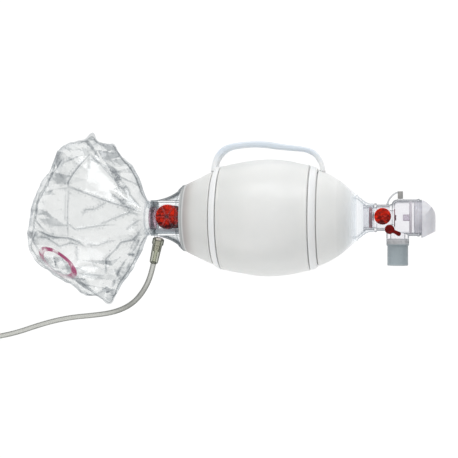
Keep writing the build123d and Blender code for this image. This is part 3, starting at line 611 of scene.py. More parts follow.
m_red = red_moulding("red_silicone", srgb(236, 46, 14), srgb(58, 0, 4), (-0.0624, 0.0012), 0.0135)
m_red_plastic = red_moulding("red_plastic", srgb(238, 42, 10), srgb(80, 0, 0), (0.1697, 0.0014), 0.0089)
m_wine = solid_plastic("wine_insert", srgb(128, 40, 62), srgb(92, 20, 44), rough=0.3, grain=700.0, blotch=140.0, spec=0.5)
m_dark_red = solid_plastic("dark_red_plastic", srgb(126, 3, 2), srgb(66, 0, 0), rough=0.26, grain=700.0, blotch=240.0, spec=0.15)
m_milky = solid_plastic("milky_plastic", srgb(222, 222, 226), srgb(206, 206, 212), rough=0.38, grain=1000.0, blotch=60.0, sss=0.35, sss_scale=0.003, spec=0.45)


def connector_grey(name):
    """Blue-grey translucent plastic: paler in the collar's row and at the open rim, deeper where the wall turns away,
    which is painted shade.
    """
    material, tree, out = mat(name)
    p = coords(tree)
    y = node(tree, "ShaderNodeSeparateXYZ", Vector=p).outputs["Y"]
    cloud = noise_tex(tree, 75.0, 3.0, vector=p)
    base = ramp(tree, map_range(tree, y, -0.0513, -0.0226, 0.0, 1.0), ((0.0, srgb(210, 213, 215)), (0.035, srgb(176, 186, 190)), (0.07, srgb(166, 177, 182)), (0.78, srgb(160, 171, 176)), (0.83, srgb(204, 206, 208)), (0.95, srgb(214, 214, 217)), (1.0, srgb(186, 190, 194))))
    facing = node(tree, "ShaderNodeLayerWeight", Blend=0.5).outputs["Facing"]
    # painted shade: more of the dark see-through colour where the wall turns away
    edge = math_node(tree, "MULTIPLY", math_node(tree, "POWER", facing, 2.0), 0.45)
    shade = node(tree, "ShaderNodeMix", {"data_type": "RGBA", "blend_type": "MULTIPLY"})
    tree.links.new(map_range(tree, cloud, 0.3, 0.7, 0.0, 0.12), shade.inputs["Factor"])
    tree.links.new(base, shade.inputs[6])
    shade.inputs[7].default_value = (0.80, 0.82, 0.84, 1.0)
    n1 = bump(tree, noise_tex(tree, 1000.0, 2.0, vector=p), 0.3, 0.00002)
    solid = principled(tree, Base_Color=shade.outputs[2], Roughness=map_range(tree, cloud, 0.3, 0.7, 0.22, 0.34), Normal=n1)
    clear = node(tree, "ShaderNodeBsdfTransparent", Color=(0.52, 0.56, 0.59, 1.0))
    mix = tree.nodes.new("ShaderNodeMixShader")
    tree.links.new(math_node(tree, "ADD", edge, 0.10), mix.inputs[0])
    tree.links.new(solid.outputs[0], mix.inputs[1])
    tree.links.new(clear.outputs[0], mix.inputs[2])
    tree.links.new(mix.outputs[0], out.inputs["Surface"])
    return material


m_grey = connector_grey("grey_plastic")
m_port = solid_plastic("port_grey", srgb(172, 171, 168), srgb(150, 150, 148), rough=0.4, grain=1000.0, blotch=200.0, spec=0.4)
m_soft = thin_clear("soft_connector", (0.82, 0.83, 0.77), (0.02, 0.024, 0.018), (0.16, 0.74), 0.10, (0.55, 0.56, 0.49), rough=0.14)
m_tube = thin_clear("pvc_tube", (0.82, 0.82, 0.805), (0.10, 0.105, 0.095), (0.12, 0.66), 0.32, (0.68, 0.69, 0.64), rough=0.12)
m_tether = thin_clear("tether_plastic", (0.80, 0.81, 0.82), (0.42, 0.43, 0.44), 1.5, 0.2, (0.72, 0.74, 0.76), rough=0.2)
m_tie = solid_plastic("tie_paper", srgb(238, 238, 234), srgb(222, 222, 216), rough=0.7, grain=1600.0, blotch=150.0)


def give(obj, material):
    obj.data.materials.clear()
    obj.data.materials.append(material)


give(oxygen_line, m_tube)
give(coil_tie, m_tie)
for name, material in {
    "inlet_housing": m_clear, "reservoir_collar": m_neck, "front_collar": m_collar, "valve_housing": m_clear_valve,
    "bag_inlet_seat": m_pale, "intake_seat": m_clear_thin, "overflow_seat": m_clear_thin, "outlet_spider": m_pale, "oxygen_duct": m_rod,
    "bag_inlet_disc": m_blush, "intake_disc": m_red, "overflow_disc": m_red, "reservoir_seal": m_smoke, "neck_insert": m_wine, "shutter_membrane": m_wine,
    "relief_button": m_red_plastic, "manometer_cap": m_dark_red, "stop_pin": m_pin,
    "splash_guard": m_milky, "patient_connector": m_grey, "port_cap": m_port, "oxygen_nipple": m_clear_thin,
    "tube_connector": m_soft, "supply_connector": m_soft, "port_tether": m_tether,
    "compression_bag": m_bag, "strap_ring_rear": m_strap, "strap_ring_front": m_strap, "hand_strap": m_strap, "reservoir_bag": m_tether,
    "oxygen_tube": m_tube, "oxygen_tube_coil": m_tube,
}.items():
    give(nodes[name], material)


# ------------------------------------------------------------------ compression bag: a thin moulded shell, smooth between its two strap grooves
def run(points, steps=5):
    return [tuple(p) for p in catmull(points, steps)]


outer = []
outer += run([(-46.6, 36.2), (-43.0, 37.4), (-36.5, 40.5), (-27.3, 44.8), (-19.5, 48.5), (-13.7, 51.0)])
outer += [(-13.2, 51.25), (-12.8, 51.0), (-12.6, 50.3), (-12.5, 48.6), (-12.2, 48.1)]
outer += [(-8.0, 49.6), (-4.4, 51.4), (-4.05, 52.0), (-3.95, 53.4), (-3.9, 55.6), (-3.75, 56.3), (-3.3, 56.75), (-2.6, 56.9), (-1.7, 56.85), (-0.9, 56.8)]
outer += run([(0.2, 57.1), (5.0, 58.4), (17.0, 60.7), (31.0, 62.7), (46.0, 63.45), (60.0, 62.9), (71.1, 61.4), (83.0, 58.9), (88.4, 57.5)])
outer += [(89.6, 57.35), (90.8, 57.25), (91.5, 56.95), (91.9, 56.4), (92.1, 55.4), (92.2, 52.4), (92.5, 51.9)]
outer += [(96.5, 50.2), (101.0, 48.1), (101.35, 48.5), (101.45, 50.0), (101.6, 51.2), (101.9, 51.75), (102.4, 51.75)]
outer += run([(103.2, 51.45), (110.0, 48.4), (118.7, 43.6), (126.0, 38.6), (131.5, 33.9), (136.5, 29.6), (140.4, 26.2)])
outer += [(141.2, 25.3), (141.4, 24.6)]
inner = []
inner += [(139.9, 23.6)] + run([(136.0, 27.0), (128.4, 34.0), (117.6, 41.5), (108.9, 46.0), (102.0, 45.5), (97.0, 47.2), (91.6, 50.0), (83.0, 56.5), (71.0, 59.0), (60.0, 60.5), (46.0, 61.1), (31.0, 60.4), (17.0, 58.4), (5.0, 56.2), (-3.6, 50.2), (-8.5, 47.4), (-14.0, 45.9), (-20.3, 46.6), (-28.0, 42.8), (-37.2, 38.6), (-43.6, 35.4), (-46.0, 34.4)], 4)
profile = outer + inner
SEG = 144
grooves = ((-14.5, -2.5), (90.5, 103.5))


def soft_wave(x, a, outside):
    """The unevenness of a soft moulding, none of it where the strap's rings sit."""
    if not outside:
        return 0.0
    calm = 1.0
    for g0, g1 in grooves:
        calm *= 1.0 - smoothstep(g0 - 8, g0, x) * (1.0 - smoothstep(g1, g1 + 8, x))
    calm *= smoothstep(-46, -36, x) * (1.0 - smoothstep(126, 140, x))
    v = noise.noise(Vector((x / 34.0, 1.9 * math.cos(a), 1.9 * math.sin(a))))
    return 0.55 * v * calm


verts, faces = [], []
for k, (x, r) in enumerate(profile):
    outside = k < len(outer)
    for s in range(SEG):
        a = 2 * math.pi * s / SEG
        rr = r + soft_wave(x, a, outside)
        verts.append((x, rr * math.cos(a), AXIS_Z + rr * math.sin(a)))
P = len(profile)
for k in range(P):
    for s in range(SEG):
        faces.append((k * SEG + s, k * SEG + (s + 1) % SEG, ((k + 1) % P) * SEG + (s + 1) % SEG, ((k + 1) % P) * SEG + s))
bag = mesh_object("silicone_bag", [(v[0], v[1], max(v[2], 0.0)) for v in verts], faces)
give(bag, m_bag)
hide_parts("compression_bag")
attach(bag, "bag")

# ------------------------------------------------------------------ hand strap and the two rings that hold it: one soft moulding
verts, faces = [], []


def tube_ring(profile_xr, seg=168):
    """A closed ring about the bag's axis with that section."""
    base, n = len(verts), len(profile_xr)
    for x, r in profile_xr:
        for s in range(seg):
            a = 2 * math.pi * s / seg
            verts.append((x, r * math.cos(a), AXIS_Z + r * math.sin(a)))
    for k in range(n):
        for s in range(seg):
            faces.append((base + k * seg + s, base + k * seg + (s + 1) % seg, base + ((k + 1) % n) * seg + (s + 1) % seg, base + ((k + 1) % n) * seg + s))


tube_ring([(-11.7, 50.0), (-11.7, 52.4), (-11.2, 53.2), (-9.2, 54.6), (-7.2, 55.8), (-5.6, 56.5), (-4.85, 56.4), (-4.7, 55.8), (-4.7, 52.6), (-8.0, 51.0)])
tube_ring([(93.0, 53.4), (93.0, 56.0), (93.2, 56.5), (93.9, 56.5), (95.6, 55.9), (97.6, 55.0), (99.6, 53.9), (100.5, 52.9), (100.6, 52.2), (100.6, 49.8), (97.0, 51.3)])

strap_outer = [(-16.2, 50.0), (-15.3, 56.0), (-13.9, 62.4), (-11.1, 69.1), (-5.6, 75.7), (2.2, 79.9), (14.1, 82.2), (31.7, 83.5), (46.3, 82.8), (55.0, 81.4), (68.1, 79.2), (84.1, 77.0), (94.2, 74.2), (100.6, 69.4), (104.9, 62.6), (107.4, 55.6), (108.6, 49.0)]
strap_inner = [(-8.0, 50.5), (-8.4, 56.0), (-7.9, 60.0), (-5.6, 64.6), (-1.6, 69.4), (5.4, 73.8), (17.0, 76.0), (31.7, 76.7), (43.4, 75.9), (55.0, 74.3), (69.7, 72.7), (84.1, 71.3), (91.0, 69.0), (96.4, 65.2), (100.2, 60.0), (102.6, 54.8), (103.4, 49.6)]
ends_out = resample(catmull(strap_outer, 8), 120)
ends_in = resample(catmull(strap_inner, 8), 120)
section = []
for k in range(36):
    a = 2 * math.pi * k / 36
    c, s = math.cos(a), math.sin(a)
    section.append((math.copysign(abs(c) ** 0.42, c), math.copysign(abs(s) ** 0.42, s)))
base = len(verts)
for k, (o, i) in enumerate(zip(ends_out, ends_in)):
    mid, half = (o + i) / 2, (o - i) / 2
    f = k / 119
    width = 9.3 - 0.9 * math.sin(math.pi * f) ** 2 + 1.3 * (smoothstep(0.12, 0.0, f) + smoothstep(0.88, 1.0, f))
    for u, w in section:
        # the underside is a little hollow across its width, as a moulded strap is
        dish = 0.55 * (1 - w * w) if u < 0 else 0.0
        p = mid + half * (u + dish * 0.35)
        verts.append((p[0], p[1], AXIS_Z + width * w))
for k in range(119):
    for j in range(36):
        faces.append((base + k * 36 + j, base + k * 36 + (j + 1) % 36, base + (k + 1) * 36 + (j + 1) % 36, base + (k + 1) * 36 + j))
faces.append(tuple(base + j for j in range(36)))
faces.append(tuple(base + 119 * 36 + j for j in reversed(range(36))))
strap = mesh_object("strap_moulding", verts, faces)
bm = bmesh.new()
bm.from_mesh(strap.data)
bmesh.ops.recalc_face_normals(bm, faces=bm.faces)
bm.to_mesh(strap.data)
bm.free()
remesh = strap.modifiers.new("join", "REMESH")
remesh.mode = "VOXEL"
remesh.voxel_size = 0.00062
remesh.use_smooth_shade = True
relax = strap.modifiers.new("relax", "SMOOTH")
relax.factor = 0.5
relax.iterations = 6
apply_modifiers(strap)
give(strap, m_strap)
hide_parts("hand_strap", "strap_ring_rear", "strap_ring_front")
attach(strap, "bag")

# ------------------------------------------------------------------ reservoir: two sheets of film welded round the edge, part filled
film_edge = [
    (-88.7, 19.6), (-94.6, 35.0), (-104.8, 52.0), (-115.1, 66.5), (-125.4, 77.0), (-134.0, 79.6), (-143.6, 80.4), (-153.3, 86.0), (-163.0, 83.4), (-181.3, 79.3),
    (-195.0, 70.6), (-206.0, 49.5), (-215.0, 34.6), (-223.0, 18.1), (-227.0, -6.0), (-228.0, -22.0), (-226.0, -34.0), (-215.0, -49.6), (-200.5, -60.6),
    (-183.9, -69.6), (-167.0, -80.2), (-148.7, -83.4), (-134.0, -87.0), (-125.4, -81.0), (-115.1, -67.2), (-107.4, -55.6), (-95.9, -36.5), (-88.7, -19.6)]
NECK_X, NECK_R = -88.7, 19.6
SPACING = 2.5
edge_line = catmull(film_edge, 8)
edge_len = sum(float(np.linalg.norm(b - a)) for a, b in zip(edge_line, edge_line[1:]))
rim = resample(edge_line, int(edge_len / SPACING))
neck_n = 13
neck_line = [np.array((NECK_X, -NECK_R + 2 * NECK_R * k / neck_n)) for k in range(1, neck_n)]
loop2d = rim + neck_line
rim_n = len(rim)


def inside(p, poly):
    hit = False
    x, y = p
    for (x1, y1), (x2, y2) in zip(poly, poly[1:] + poly[:1]):
        if (y1 > y) != (y2 > y) and x < (x2 - x1) * (y - y1) / (y2 - y1) + x1:
            hit = not hit
    return hit


poly = [tuple(p) for p in loop2d]
rim_np = np.array([tuple(p) for p in rim])
seg_a, seg_b = rim_np[:-1], rim_np[1:]


def edge_distance(p):
    """How far a point is from the welded edge."""
    d = seg_b - seg_a
    t = np.clip(((p - seg_a) * d).sum(1) / (d * d).sum(1), 0, 1)
    return float(np.sqrt(((seg_a + d * t[:, None] - p) ** 2).sum(1)).min())


points2d = [Vector(p) for p in poly]
row = 0
y = -95.0
while y < 95.0:
    x = -235.0 + (SPACING / 2 if row % 2 else 0)
    while x < NECK_X - SPACING * 0.55:
        q = (x + random.uniform(-0.3, 0.3), y + random.uniform(-0.3, 0.3))
        if inside(q, poly) and edge_distance(np.array(q)) > SPACING * 0.62:
            points2d.append(Vector(q))
        x += SPACING
    y += SPACING * 0.866
    row += 1
n_edge = len(poly)
result = delaunay_2d_cdt(points2d, [(k, (k + 1) % n_edge) for k in range(n_edge)], [], 1, 1e-5)
flat_pts = [tuple(v) for v in result[0]]
tris = [tuple(f) for f in result[2]]
n_flat = len(flat_pts)
on_rim = [k < rim_n for k in range(n_flat)]
on_neck = [rim_n - 1 <= k < n_edge or k == 0 for k in range(n_flat)]

SLACK = 1.12
start, flat = [], []
top_of, bottom_of = {}, {}
for k, (x, y) in enumerate(flat_pts):
    near = smoothstep(-140.0, NECK_X, x)
    depth = 60.0 + (NECK_R - 60.0) * smoothstep(-128.0, NECK_X, x)
    high = 45.0 + (NECK_R - 45.0) * smoothstep(-134.0, NECK_X, x)
    middle = 46.5 + (AXIS_Z - 46.5) * smoothstep(-140.0, -92.0, x)
    if k < rim_n:
        d = 0.0
    elif k < n_edge:
        d = NECK_R - abs(y)
    else:
        d = edge_distance(np.array((x, y)))
    u = 1.0 - min(d / depth, 1.0)
    h = high * math.sqrt(max(1.0 - u * u, 0.0))
    grow = 1.0 + 0.36 * smoothstep(-118.0, NECK_X, x)
    fx, fy = (x - NECK_X) * SLACK, y * SLACK * grow
    wob = 1.6 * noise.noise(Vector((x / 11.0, y / 11.0, 0.3)))
    if k < rim_n:
        top_of[k] = bottom_of[k] = len(start)
        start.append((x, y, middle + wob))
        flat.append((fx, fy, 0.0))
    else:
        top_of[k] = len(start)
        start.append((x, y, middle + h + (0 if k < n_edge else wob)))
        flat.append((fx, fy, 0.6))
        bottom_of[k] = len(start)
        wob = 1.6 * noise.noise(Vector((x / 11.0, y / 11.0, 7.3)))
        start.append((x, y, max(middle - h, 0.6) + (0 if k < n_edge else wob)))
        flat.append((fx, fy, -0.6))
faces = []
for a, b, c in tris:
    area = (flat_pts[b][0] - flat_pts[a][0]) * (flat_pts[c][1] - flat_pts[a][1]) - (flat_pts[b][1] - flat_pts[a][1]) * (flat_pts[c][0] - flat_pts[a][0])
    if area < 0:
        b, c = c, b
    faces.append((top_of[a], top_of[b], top_of[c]))
    faces.append((bottom_of[a], bottom_of[c], bottom_of[b]))
film = mesh_object("reservoir_film", start, faces)
pinned = sorted({top_of[k] for k in range(n_flat) if on_neck[k]} | {bottom_of[k] for k in range(n_flat) if on_neck[k]})


def settle(points, flat_points, triangles, pins, steps, pressure, passes=5, squeeze=0.35, stiff=0.06):
    """Cloth: film cut to flat_points, blown up from inside and lying on the table, with its neck held. Positions move under
    pressure and weight, then every edge is drawn back to the length that it was cut to, and every fold is flattened a little."""
    x = np.array(points, float)
    last = x.copy()
    cut = np.array(flat_points, float)
    tri = np.array(triangles)
    sides = {}
    for a, b, c in triangles:
        for p, q, r in ((a, b, c), (b, c, a), (c, a, b)):
            sides.setdefault((min(p, q), max(p, q)), []).append(r)
    edge = np.array(list(sides))
    cut_len = np.linalg.norm(cut[edge[:, 0]] - cut[edge[:, 1]], axis=1)
    pair = np.array([v for v in sides.values() if len(v) == 2 and v[0] != v[1]])
    side_of = np.array([k for k, v in sides.items() if len(v) == 2 and v[0] != v[1]])
    pair_len = np.linalg.norm(cut[pair[:, 0]] - cut[pair[:, 1]], axis=1)
    # across the weld the two sheets may hinge freely
    free = pair_len < 1.9
    pair, pair_len = pair[~free], pair_len[~free]
    n = len(x)
    held = np.array(sorted(pins))
    home = x[held].copy()
    share = np.bincount(edge.ravel(), minlength=n) * 0.55

    def spread(index, vector):
        return np.stack([np.bincount(index, weights=vector[:, k], minlength=n) for k in range(3)], axis=1)

    pair_share = np.maximum(np.bincount(pair.ravel(), minlength=n), 1)
    for step in range(steps):
        f = step / steps
        va, vb, vc = x[tri[:, 0]], x[tri[:, 1]], x[tri[:, 2]]
        face_n = np.cross(vb - va, vc - va)
        push = spread(tri[:, 0], face_n) + spread(tri[:, 1], face_n) + spread(tri[:, 2], face_n)
        push /= np.maximum(np.linalg.norm(push, axis=1, keepdims=True), 1e-9)
        speed = (x - last) * (0.93 if f < 0.6 else 0.8)
        last = x.copy()
        x = x + speed + push * pressure * (1.0 if f < 0.7 else 0.6)
        x[:, 2] -= 0.012
        for _ in range(passes):
            d = x[edge[:, 1]] - x[edge[:, 0]]
            long = np.maximum(np.linalg.norm(d, axis=1), 1e-9)
            off = (long - cut_len) / long
            off = np.where(off > 0, off, off * squeeze) * 0.5
            step_by = d * off[:, None]
            x += (spread(edge[:, 0], step_by) - spread(edge[:, 1], step_by)) / share[:, None]
            d = x[pair[:, 1]] - x[pair[:, 0]]
            long = np.maximum(np.linalg.norm(d, axis=1), 1e-9)
            off = np.minimum((long - pair_len) / long, 0.0) * 0.5 * stiff
            step_by = d * off[:, None]
            x += (spread(pair[:, 0], step_by) - spread(pair[:, 1], step_by))
            x[:, 2] = np.maximum(x[:, 2], 0.35)
            x[held] = home
    return x


co = settle(start, flat, faces, pinned, 320, 0.09, passes=6, squeeze=0.8, stiff=0.03)
print("film after cloth", co.min(0).round(1), co.max(0).round(1), len(co))
before = np.array(start)
moved = np.linalg.norm(co - before, axis=1)
print("moved", moved.mean().round(2), moved.max().round(2))
# the welded edge: a flat band outside the seam, with a hanging tab at its top corner
ring_top = {}
for a, b, c in tris:
    for p, q, r in ((a, b, c), (b, c, a), (c, a, b)):
        for k, other in ((p, q), (p, r)):
            if k < rim_n:
                ring_top.setdefault(k, set()).add(other)
verts = [tuple(p) for p in co]
faces = [tuple(f) for f in faces]
outward = []
for k in range(rim_n):
    here = co[k]
    near = [j for j in ring_top[k] if j >= rim_n]
    if near:
        pull = sum((co[top_of[j]] + co[bottom_of[j]]) / 2 for j in near) / len(near)
        d = here - pull
        d = d / max(np.linalg.norm(d), 1e-6)
    else:
        d = outward[-1] if outward else np.array((0.0, 1.0, 0.0))
    outward.append(d)
outward = np.array(outward)
for _ in range(3):
    padded_dirs = np.vstack([outward[:1], outward, outward[-1:]])
    outward = padded_dirs[:-2] * 0.3 + padded_dirs[1:-1] * 0.4 + padded_dirs[2:] * 0.3
    outward /= np.linalg.norm(outward, axis=1, keepdims=True)
band = []
for k in range(rim_n):
    ends = min(k, rim_n - 1 - k) / 5.0
    width = 1.7 * min(ends, 1.0) + 0.25 * noise.noise(Vector((k * 0.37, 0.0, 2.0)))
    tab = math.exp(-((flat_pts[k][0] + 153.5) / 4.2) ** 2) if flat_pts[k][1] > 60 else 0.0
    row_ids = [k]
    for part in (0.34, 0.67, 1.0):
        lift = 0.5 * math.sin(k * 0.55 + 2.2 * part) * part
        p = co[k] + outward[k] * (width + 3.2 * tab) * part
        row_ids.append(len(verts))
        verts.append((p[0], p[1], max(p[2] + lift, 0.35)))
    band.append(row_ids)
n_body = len(co)
for k in range(rim_n - 1):
    for j in range(3):
        faces.append((band[k][j], band[k + 1][j], band[k + 1][j + 1], band[k][j + 1]))
is_top = np.zeros(len(verts))
for k in range(n_flat):
    is_top[top_of[k]] = 1.0
is_weld = np.zeros(len(verts))
is_weld[n_body:] = 1.0
for k in range(rim_n):
    is_weld[k] = 1.0
old = film.data
mesh = bpy.data.meshes.new("reservoir_film")
mesh.from_pydata([tuple(c * MM for c in v) for v in verts], [], faces)
mesh.update()
film.data = mesh
bpy.data.meshes.remove(old)
for label, values in (("top", is_top), ("weld", is_weld)):
    attribute = mesh.attributes.new(label, "FLOAT", "POINT")
    attribute.data.foreach_set("value", values)
sub = film.modifiers.new("smooth", "SUBSURF")
sub.levels = sub.render_levels = 1
sub.boundary_smooth = "PRESERVE_CORNERS"
apply_modifiers(film)
mesh = film.data

# creases where the film was folded flat and where it gathers, as narrow ridges (+) and valleys (-), in mm
creases = [
    (-1.6, 3.4, [(-153.9, 72.1), (-160.9, 62.3), (-169.9, 50.0), (-175.4, 40.1), (-173.1, 33.3)]),
    (1.0, 3.0, [(-185.9, 68.1), (-182.7, 61.8), (-186.5, 57.5)]),
    (0.9, 2.6, [(-183.3, 61.9), (-170.5, 66.7), (-159.0, 70.9)]),
    (0.8, 2.2, [(-172.4, 33.3), (-172.3, 6.1), (-172.2, -19.9)]),
    (-0.6, 2.0, [(-176.2, 28.4), (-176.0, -5.0)]),
    (0.7, 2.4, [(-207.7, 28.5), (-192.3, 31.6), (-173.1, 33.3)]),
    (-0.9, 2.6, [(-200.0, -7.5), (-183.3, -8.2), (-170.5, -7.5), (-164.1, -12.5), (-153.9, -11.2), (-133.6, -8.1), (-115.9, -7.5)]),
    (-1.7, 3.2, [(-214.2, -13.7), (-201.3, -18.7), (-188.4, -21.7), (-173.1, -22.3), (-161.6, -26.0), (-153.9, -31.6)]),
    (-1.5, 3.4, [(-153.9, 72.1), (-141.2, 61.5), (-129.8, 50.3), (-121.0, 41.6), (-110.9, 30.5), (-108.4, 25.6)]),
    (1.2, 3.4, [(-151.4, 65.3), (-133.6, 56.5), (-118.4, 45.3), (-103.3, 37.8), (-92.0, 28.0)]),
    (-1.8, 3.2, [(-123.5, 26.9), (-117.2, 21.9), (-108.4, 14.5)]),
    (1.4, 3.0, [(-173.1, 34.6), (-156.5, 28.9), (-141.2, 23.3), (-121.0, 15.8), (-103.3, 10.9), (-90.8, 6.5)]),
    (-1.0, 2.4, [(-128.6, 17.1), (-141.2, 9.7), (-152.0, 9.1), (-155.2, 2.4)]),
    (-1.5, 2.8, [(-92.7, -16.1), (-102.1, -24.7), (-114.7, -27.2), (-119.7, -34.0), (-131.1, -45.7), (-134.9, -61.7)]),
    (1.5, 2.8, [(-95.8, -21.0), (-105.9, -37.0), (-118.4, -53.0), (-128.6, -69.0), (-132.3, -78.9)]),
    (-1.3, 2.8, [(-103.3, -35.8), (-109.6, -50.5), (-117.2, -66.5), (-122.2, -75.1)]),
    (0.9, 2.4, [(-165.4, -54.5), (-153.9, -51.9), (-143.8, -52.5), (-136.1, -56.8)]),
    (-0.8, 2.4, [(-165.4, -61.9), (-151.4, -63.0), (-136.1, -64.2)]),
    (0.8, 2.2, [(-162.8, -29.7), (-163.9, -48.3)]),
    (-0.9, 2.4, [(-151.4, -28.5), (-138.7, -30.3), (-128.6, -26.0), (-117.2, -24.7)]),
    (-1.6, 3.6, [(-185.9, 68.1), (-198.7, 52.1), (-209.0, 32.3), (-216.7, 17.4), (-218.0, -1.3), (-209.0, -10.0), (-201.3, -13.7)]),
    (1.1, 2.6, [(-216.7, -21.2), (-201.3, -21.1), (-183.3, -31.0), (-169.2, -27.3), (-159.0, -29.7)]),
    (1.2, 2.8, [(-223.2, -26.1), (-216.7, -17.4), (-214.2, -13.7)]),
    (-1.1, 2.6, [(-192.3, -60.2), (-175.6, -68.8), (-159.0, -75.4), (-141.2, -78.4), (-124.8, -83.8)]),
    (1.0, 2.6, [(-91.0, 3.5), (-103.3, 5.9), (-115.9, 1.1), (-136.1, -7.5)]),
    (-1.0, 2.6, [(-91.0, -1.4), (-97.1, -5.1), (-108.4, -13.7)]),
    (1.0, 2.6, [(-91.0, 10.0), (-101.0, 20.0), (-112.0, 36.0), (-128.0, 58.0)]),
    (-1.0, 2.6, [(-91.0, -11.0), (-104.0, -30.0), (-113.0, -48.0)]),
]
nv = len(mesh.vertices)
co = np.zeros(nv * 3)
mesh.vertices.foreach_get("co", co)
co = co.reshape(-1, 3) / MM
norm = np.zeros(nv * 3)
mesh.vertices.foreach_get("normal", norm)
norm = norm.reshape(-1, 3)
top_w = np.array([a.value for a in mesh.attributes["top"].data])
rng = random.Random(23)


tone = np.zeros(nv)


def crumple(seed_gap, amount, weight, shift, chosen, near_weight):
    """Facets: flat between scattered points, each a little in or out. Each facet's slope towards the key light on +Y
    also goes into tone, as painted light and shade.
    """
    local = random.Random(100 + int(shift))
    seeds = []
    y = -104.0
    while y < 104.0:
        x = -244.0
        while x < -84.0:
            seeds.append((x + local.uniform(-0.46, 0.46) * seed_gap, y + local.uniform(-0.46, 0.46) * seed_gap, local.uniform(-1.0, 1.0) * amount))
            x += seed_gap
        y += seed_gap
    made = delaunay_2d_cdt([Vector((a, b)) for a, b, _ in seeds], [], [], 0, 1e-6)
    found = np.zeros(len(co))
    shaded = np.zeros(len(co))
    origin = made[3]
    for tri in made[2]:
        p = [np.array(made[0][k]) for k in tri]
        h = [seeds[origin[k][0]][2] for k in tri]
        lo, hi = np.min(p, axis=0), np.max(p, axis=0)
        near = np.nonzero((co[:, 0] >= lo[0]) & (co[:, 0] <= hi[0]) & (co[:, 1] >= lo[1]) & (co[:, 1] <= hi[1]))[0]
        if not len(near):
            continue
        q = co[near, :2] - p[0]
        d1, d2 = p[1] - p[0], p[2] - p[0]
        det = d1[0] * d2[1] - d1[1] * d2[0]
        if abs(det) < 1e-9:
            continue
        u = (q[:, 0] * d2[1] - q[:, 1] * d2[0]) / det
        v = (d1[0] * q[:, 1] - d1[1] * q[:, 0]) / det
        hit = (u >= -1e-6) & (v >= -1e-6) & (u + v <= 1 + 1e-6)
        found[near[hit]] = h[0] * (1 - u[hit] - v[hit]) + h[1] * u[hit] + h[2] * v[hit]
        gx = ((h[1] - h[0]) * d2[1] - (h[2] - h[0]) * d1[1]) / det
        gy = (d1[0] * (h[2] - h[0]) - d2[0] * (h[1] - h[0])) / det
        # painted light and shade: each facet is lightened or darkened by its slope towards the key light on +Y
        shaded[near[hit]] = weight * (0.45 * gx + 0.90 * gy)
    tone[chosen] += (shaded * near_weight)[chosen]
    return found
weld_w = np.array([a.value for a in mesh.attributes["weld"].data])
scale_c = np.clip(top_w, 0, 1) * (1 - np.clip(weld_w, 0, 1))
rim_away = np.full(nv, 1e9)
for a, b in zip(rim_np[:-1], rim_np[1:]):
    d = b - a
    t = np.clip(((co[:, :2] - a) @ d) / (d @ d), 0, 1)
    rim_away = np.minimum(rim_away, np.linalg.norm(a + t[:, None] * d - co[:, :2], axis=1))
near_rim = np.clip(1.0 - rim_away / 34.0, 0, 1)
off_neck = np.clip((-93.0 - co[:, 0]) / 12.0, 0, 1)
side = np.where(top_w > 0.5, 0.0, 40.0)
both_sides = (1 - np.clip(weld_w, 0, 1)) * off_neck
upper, lower = (top_w > 0.5), (top_w <= 0.5)
shape = np.zeros(nv)
for mask, shift in ((upper, 0), (lower, 50)):
    mid, fine = 0.25 + 0.9 * near_rim, 0.10 + 1.1 * near_rim ** 1.5
    big = crumple(22.0, 1.6, 1.6, shift + 1, mask, 0.55 + 0.6 * near_rim)
    small = crumple(11.0, 1.2, 1.0, shift + 2, mask, mid) * mid
    tiny = crumple(6.0, 0.9, 0.6, shift + 3, mask, fine) * fine
    shape += np.where(mask, big + small + tiny, 0.0)
co += norm * (shape * both_sides)[:, None]
painted_crease_shade = np.zeros(nv)
for height, width, points in creases:
    pts = np.array(points)
    best = np.full(nv, 1e9)
    along = np.zeros(nv)
    done = 0.0
    total = float(np.linalg.norm(np.diff(pts, axis=0), axis=1).sum())
    for a, b in zip(pts, pts[1:]):
        d = b - a
        t = np.clip(((co[:, :2] - a) @ d) / (d @ d), 0, 1)
        away = np.linalg.norm(a + t[:, None] * d - co[:, :2], axis=1)
        at = (done + t * np.linalg.norm(d)) / total
        along = np.where(away < best, at, along)
        best = np.minimum(best, away)
        done += float(np.linalg.norm(d))
    taper = np.clip(np.minimum(along, 1 - along) * 6 + 0.25, 0, 1)
    profile_h = np.clip(1 - best / width, 0, 1) * taper
    co += norm * (height * profile_h * scale_c)[:, None]
    # the crease lines are also kept as painted shade for the film's tint
    painted_crease_shade = np.maximum(painted_crease_shade, np.clip(1 - best / 1.7, 0, 1) * taper * abs(height) / 1.8 * scale_c)
co[:, 2] = np.maximum(co[:, 2], 0.3)
mesh.vertices.foreach_set("co", (co * MM).ravel())
mesh.update()
edge = np.zeros(len(mesh.edges) * 2, int)
mesh.edges.foreach_get("vertices", edge)
edge = edge.reshape(-1, 2)
d = co[edge[:, 1]] - co[edge[:, 0]]
valence = np.maximum(np.bincount(edge.ravel(), minlength=nv), 1)
lap = np.stack([np.bincount(edge[:, 0], weights=d[:, k], minlength=nv) - np.bincount(edge[:, 1], weights=d[:, k], minlength=nv) for k in range(3)], axis=1) / valence[:, None]
mean_edge = float(np.linalg.norm(d, axis=1).mean())
bent = np.abs((lap * norm).sum(1)) / mean_edge
# painted shade: the film's tint darkens where it bends sharply and along the crease lines
fold = np.clip((bent - 0.05) * 2.6, 0, 1) * (1 - np.clip(weld_w, 0, 1))
fold = np.clip(np.maximum(fold, painted_crease_shade), 0, 1)
print("fold share", (fold > 0.3).mean().round(3), "mean", fold.mean().round(3), "nv", nv)
attribute = mesh.attributes.new("fold", "FLOAT", "POINT")
attribute.data.foreach_set("value", fold)
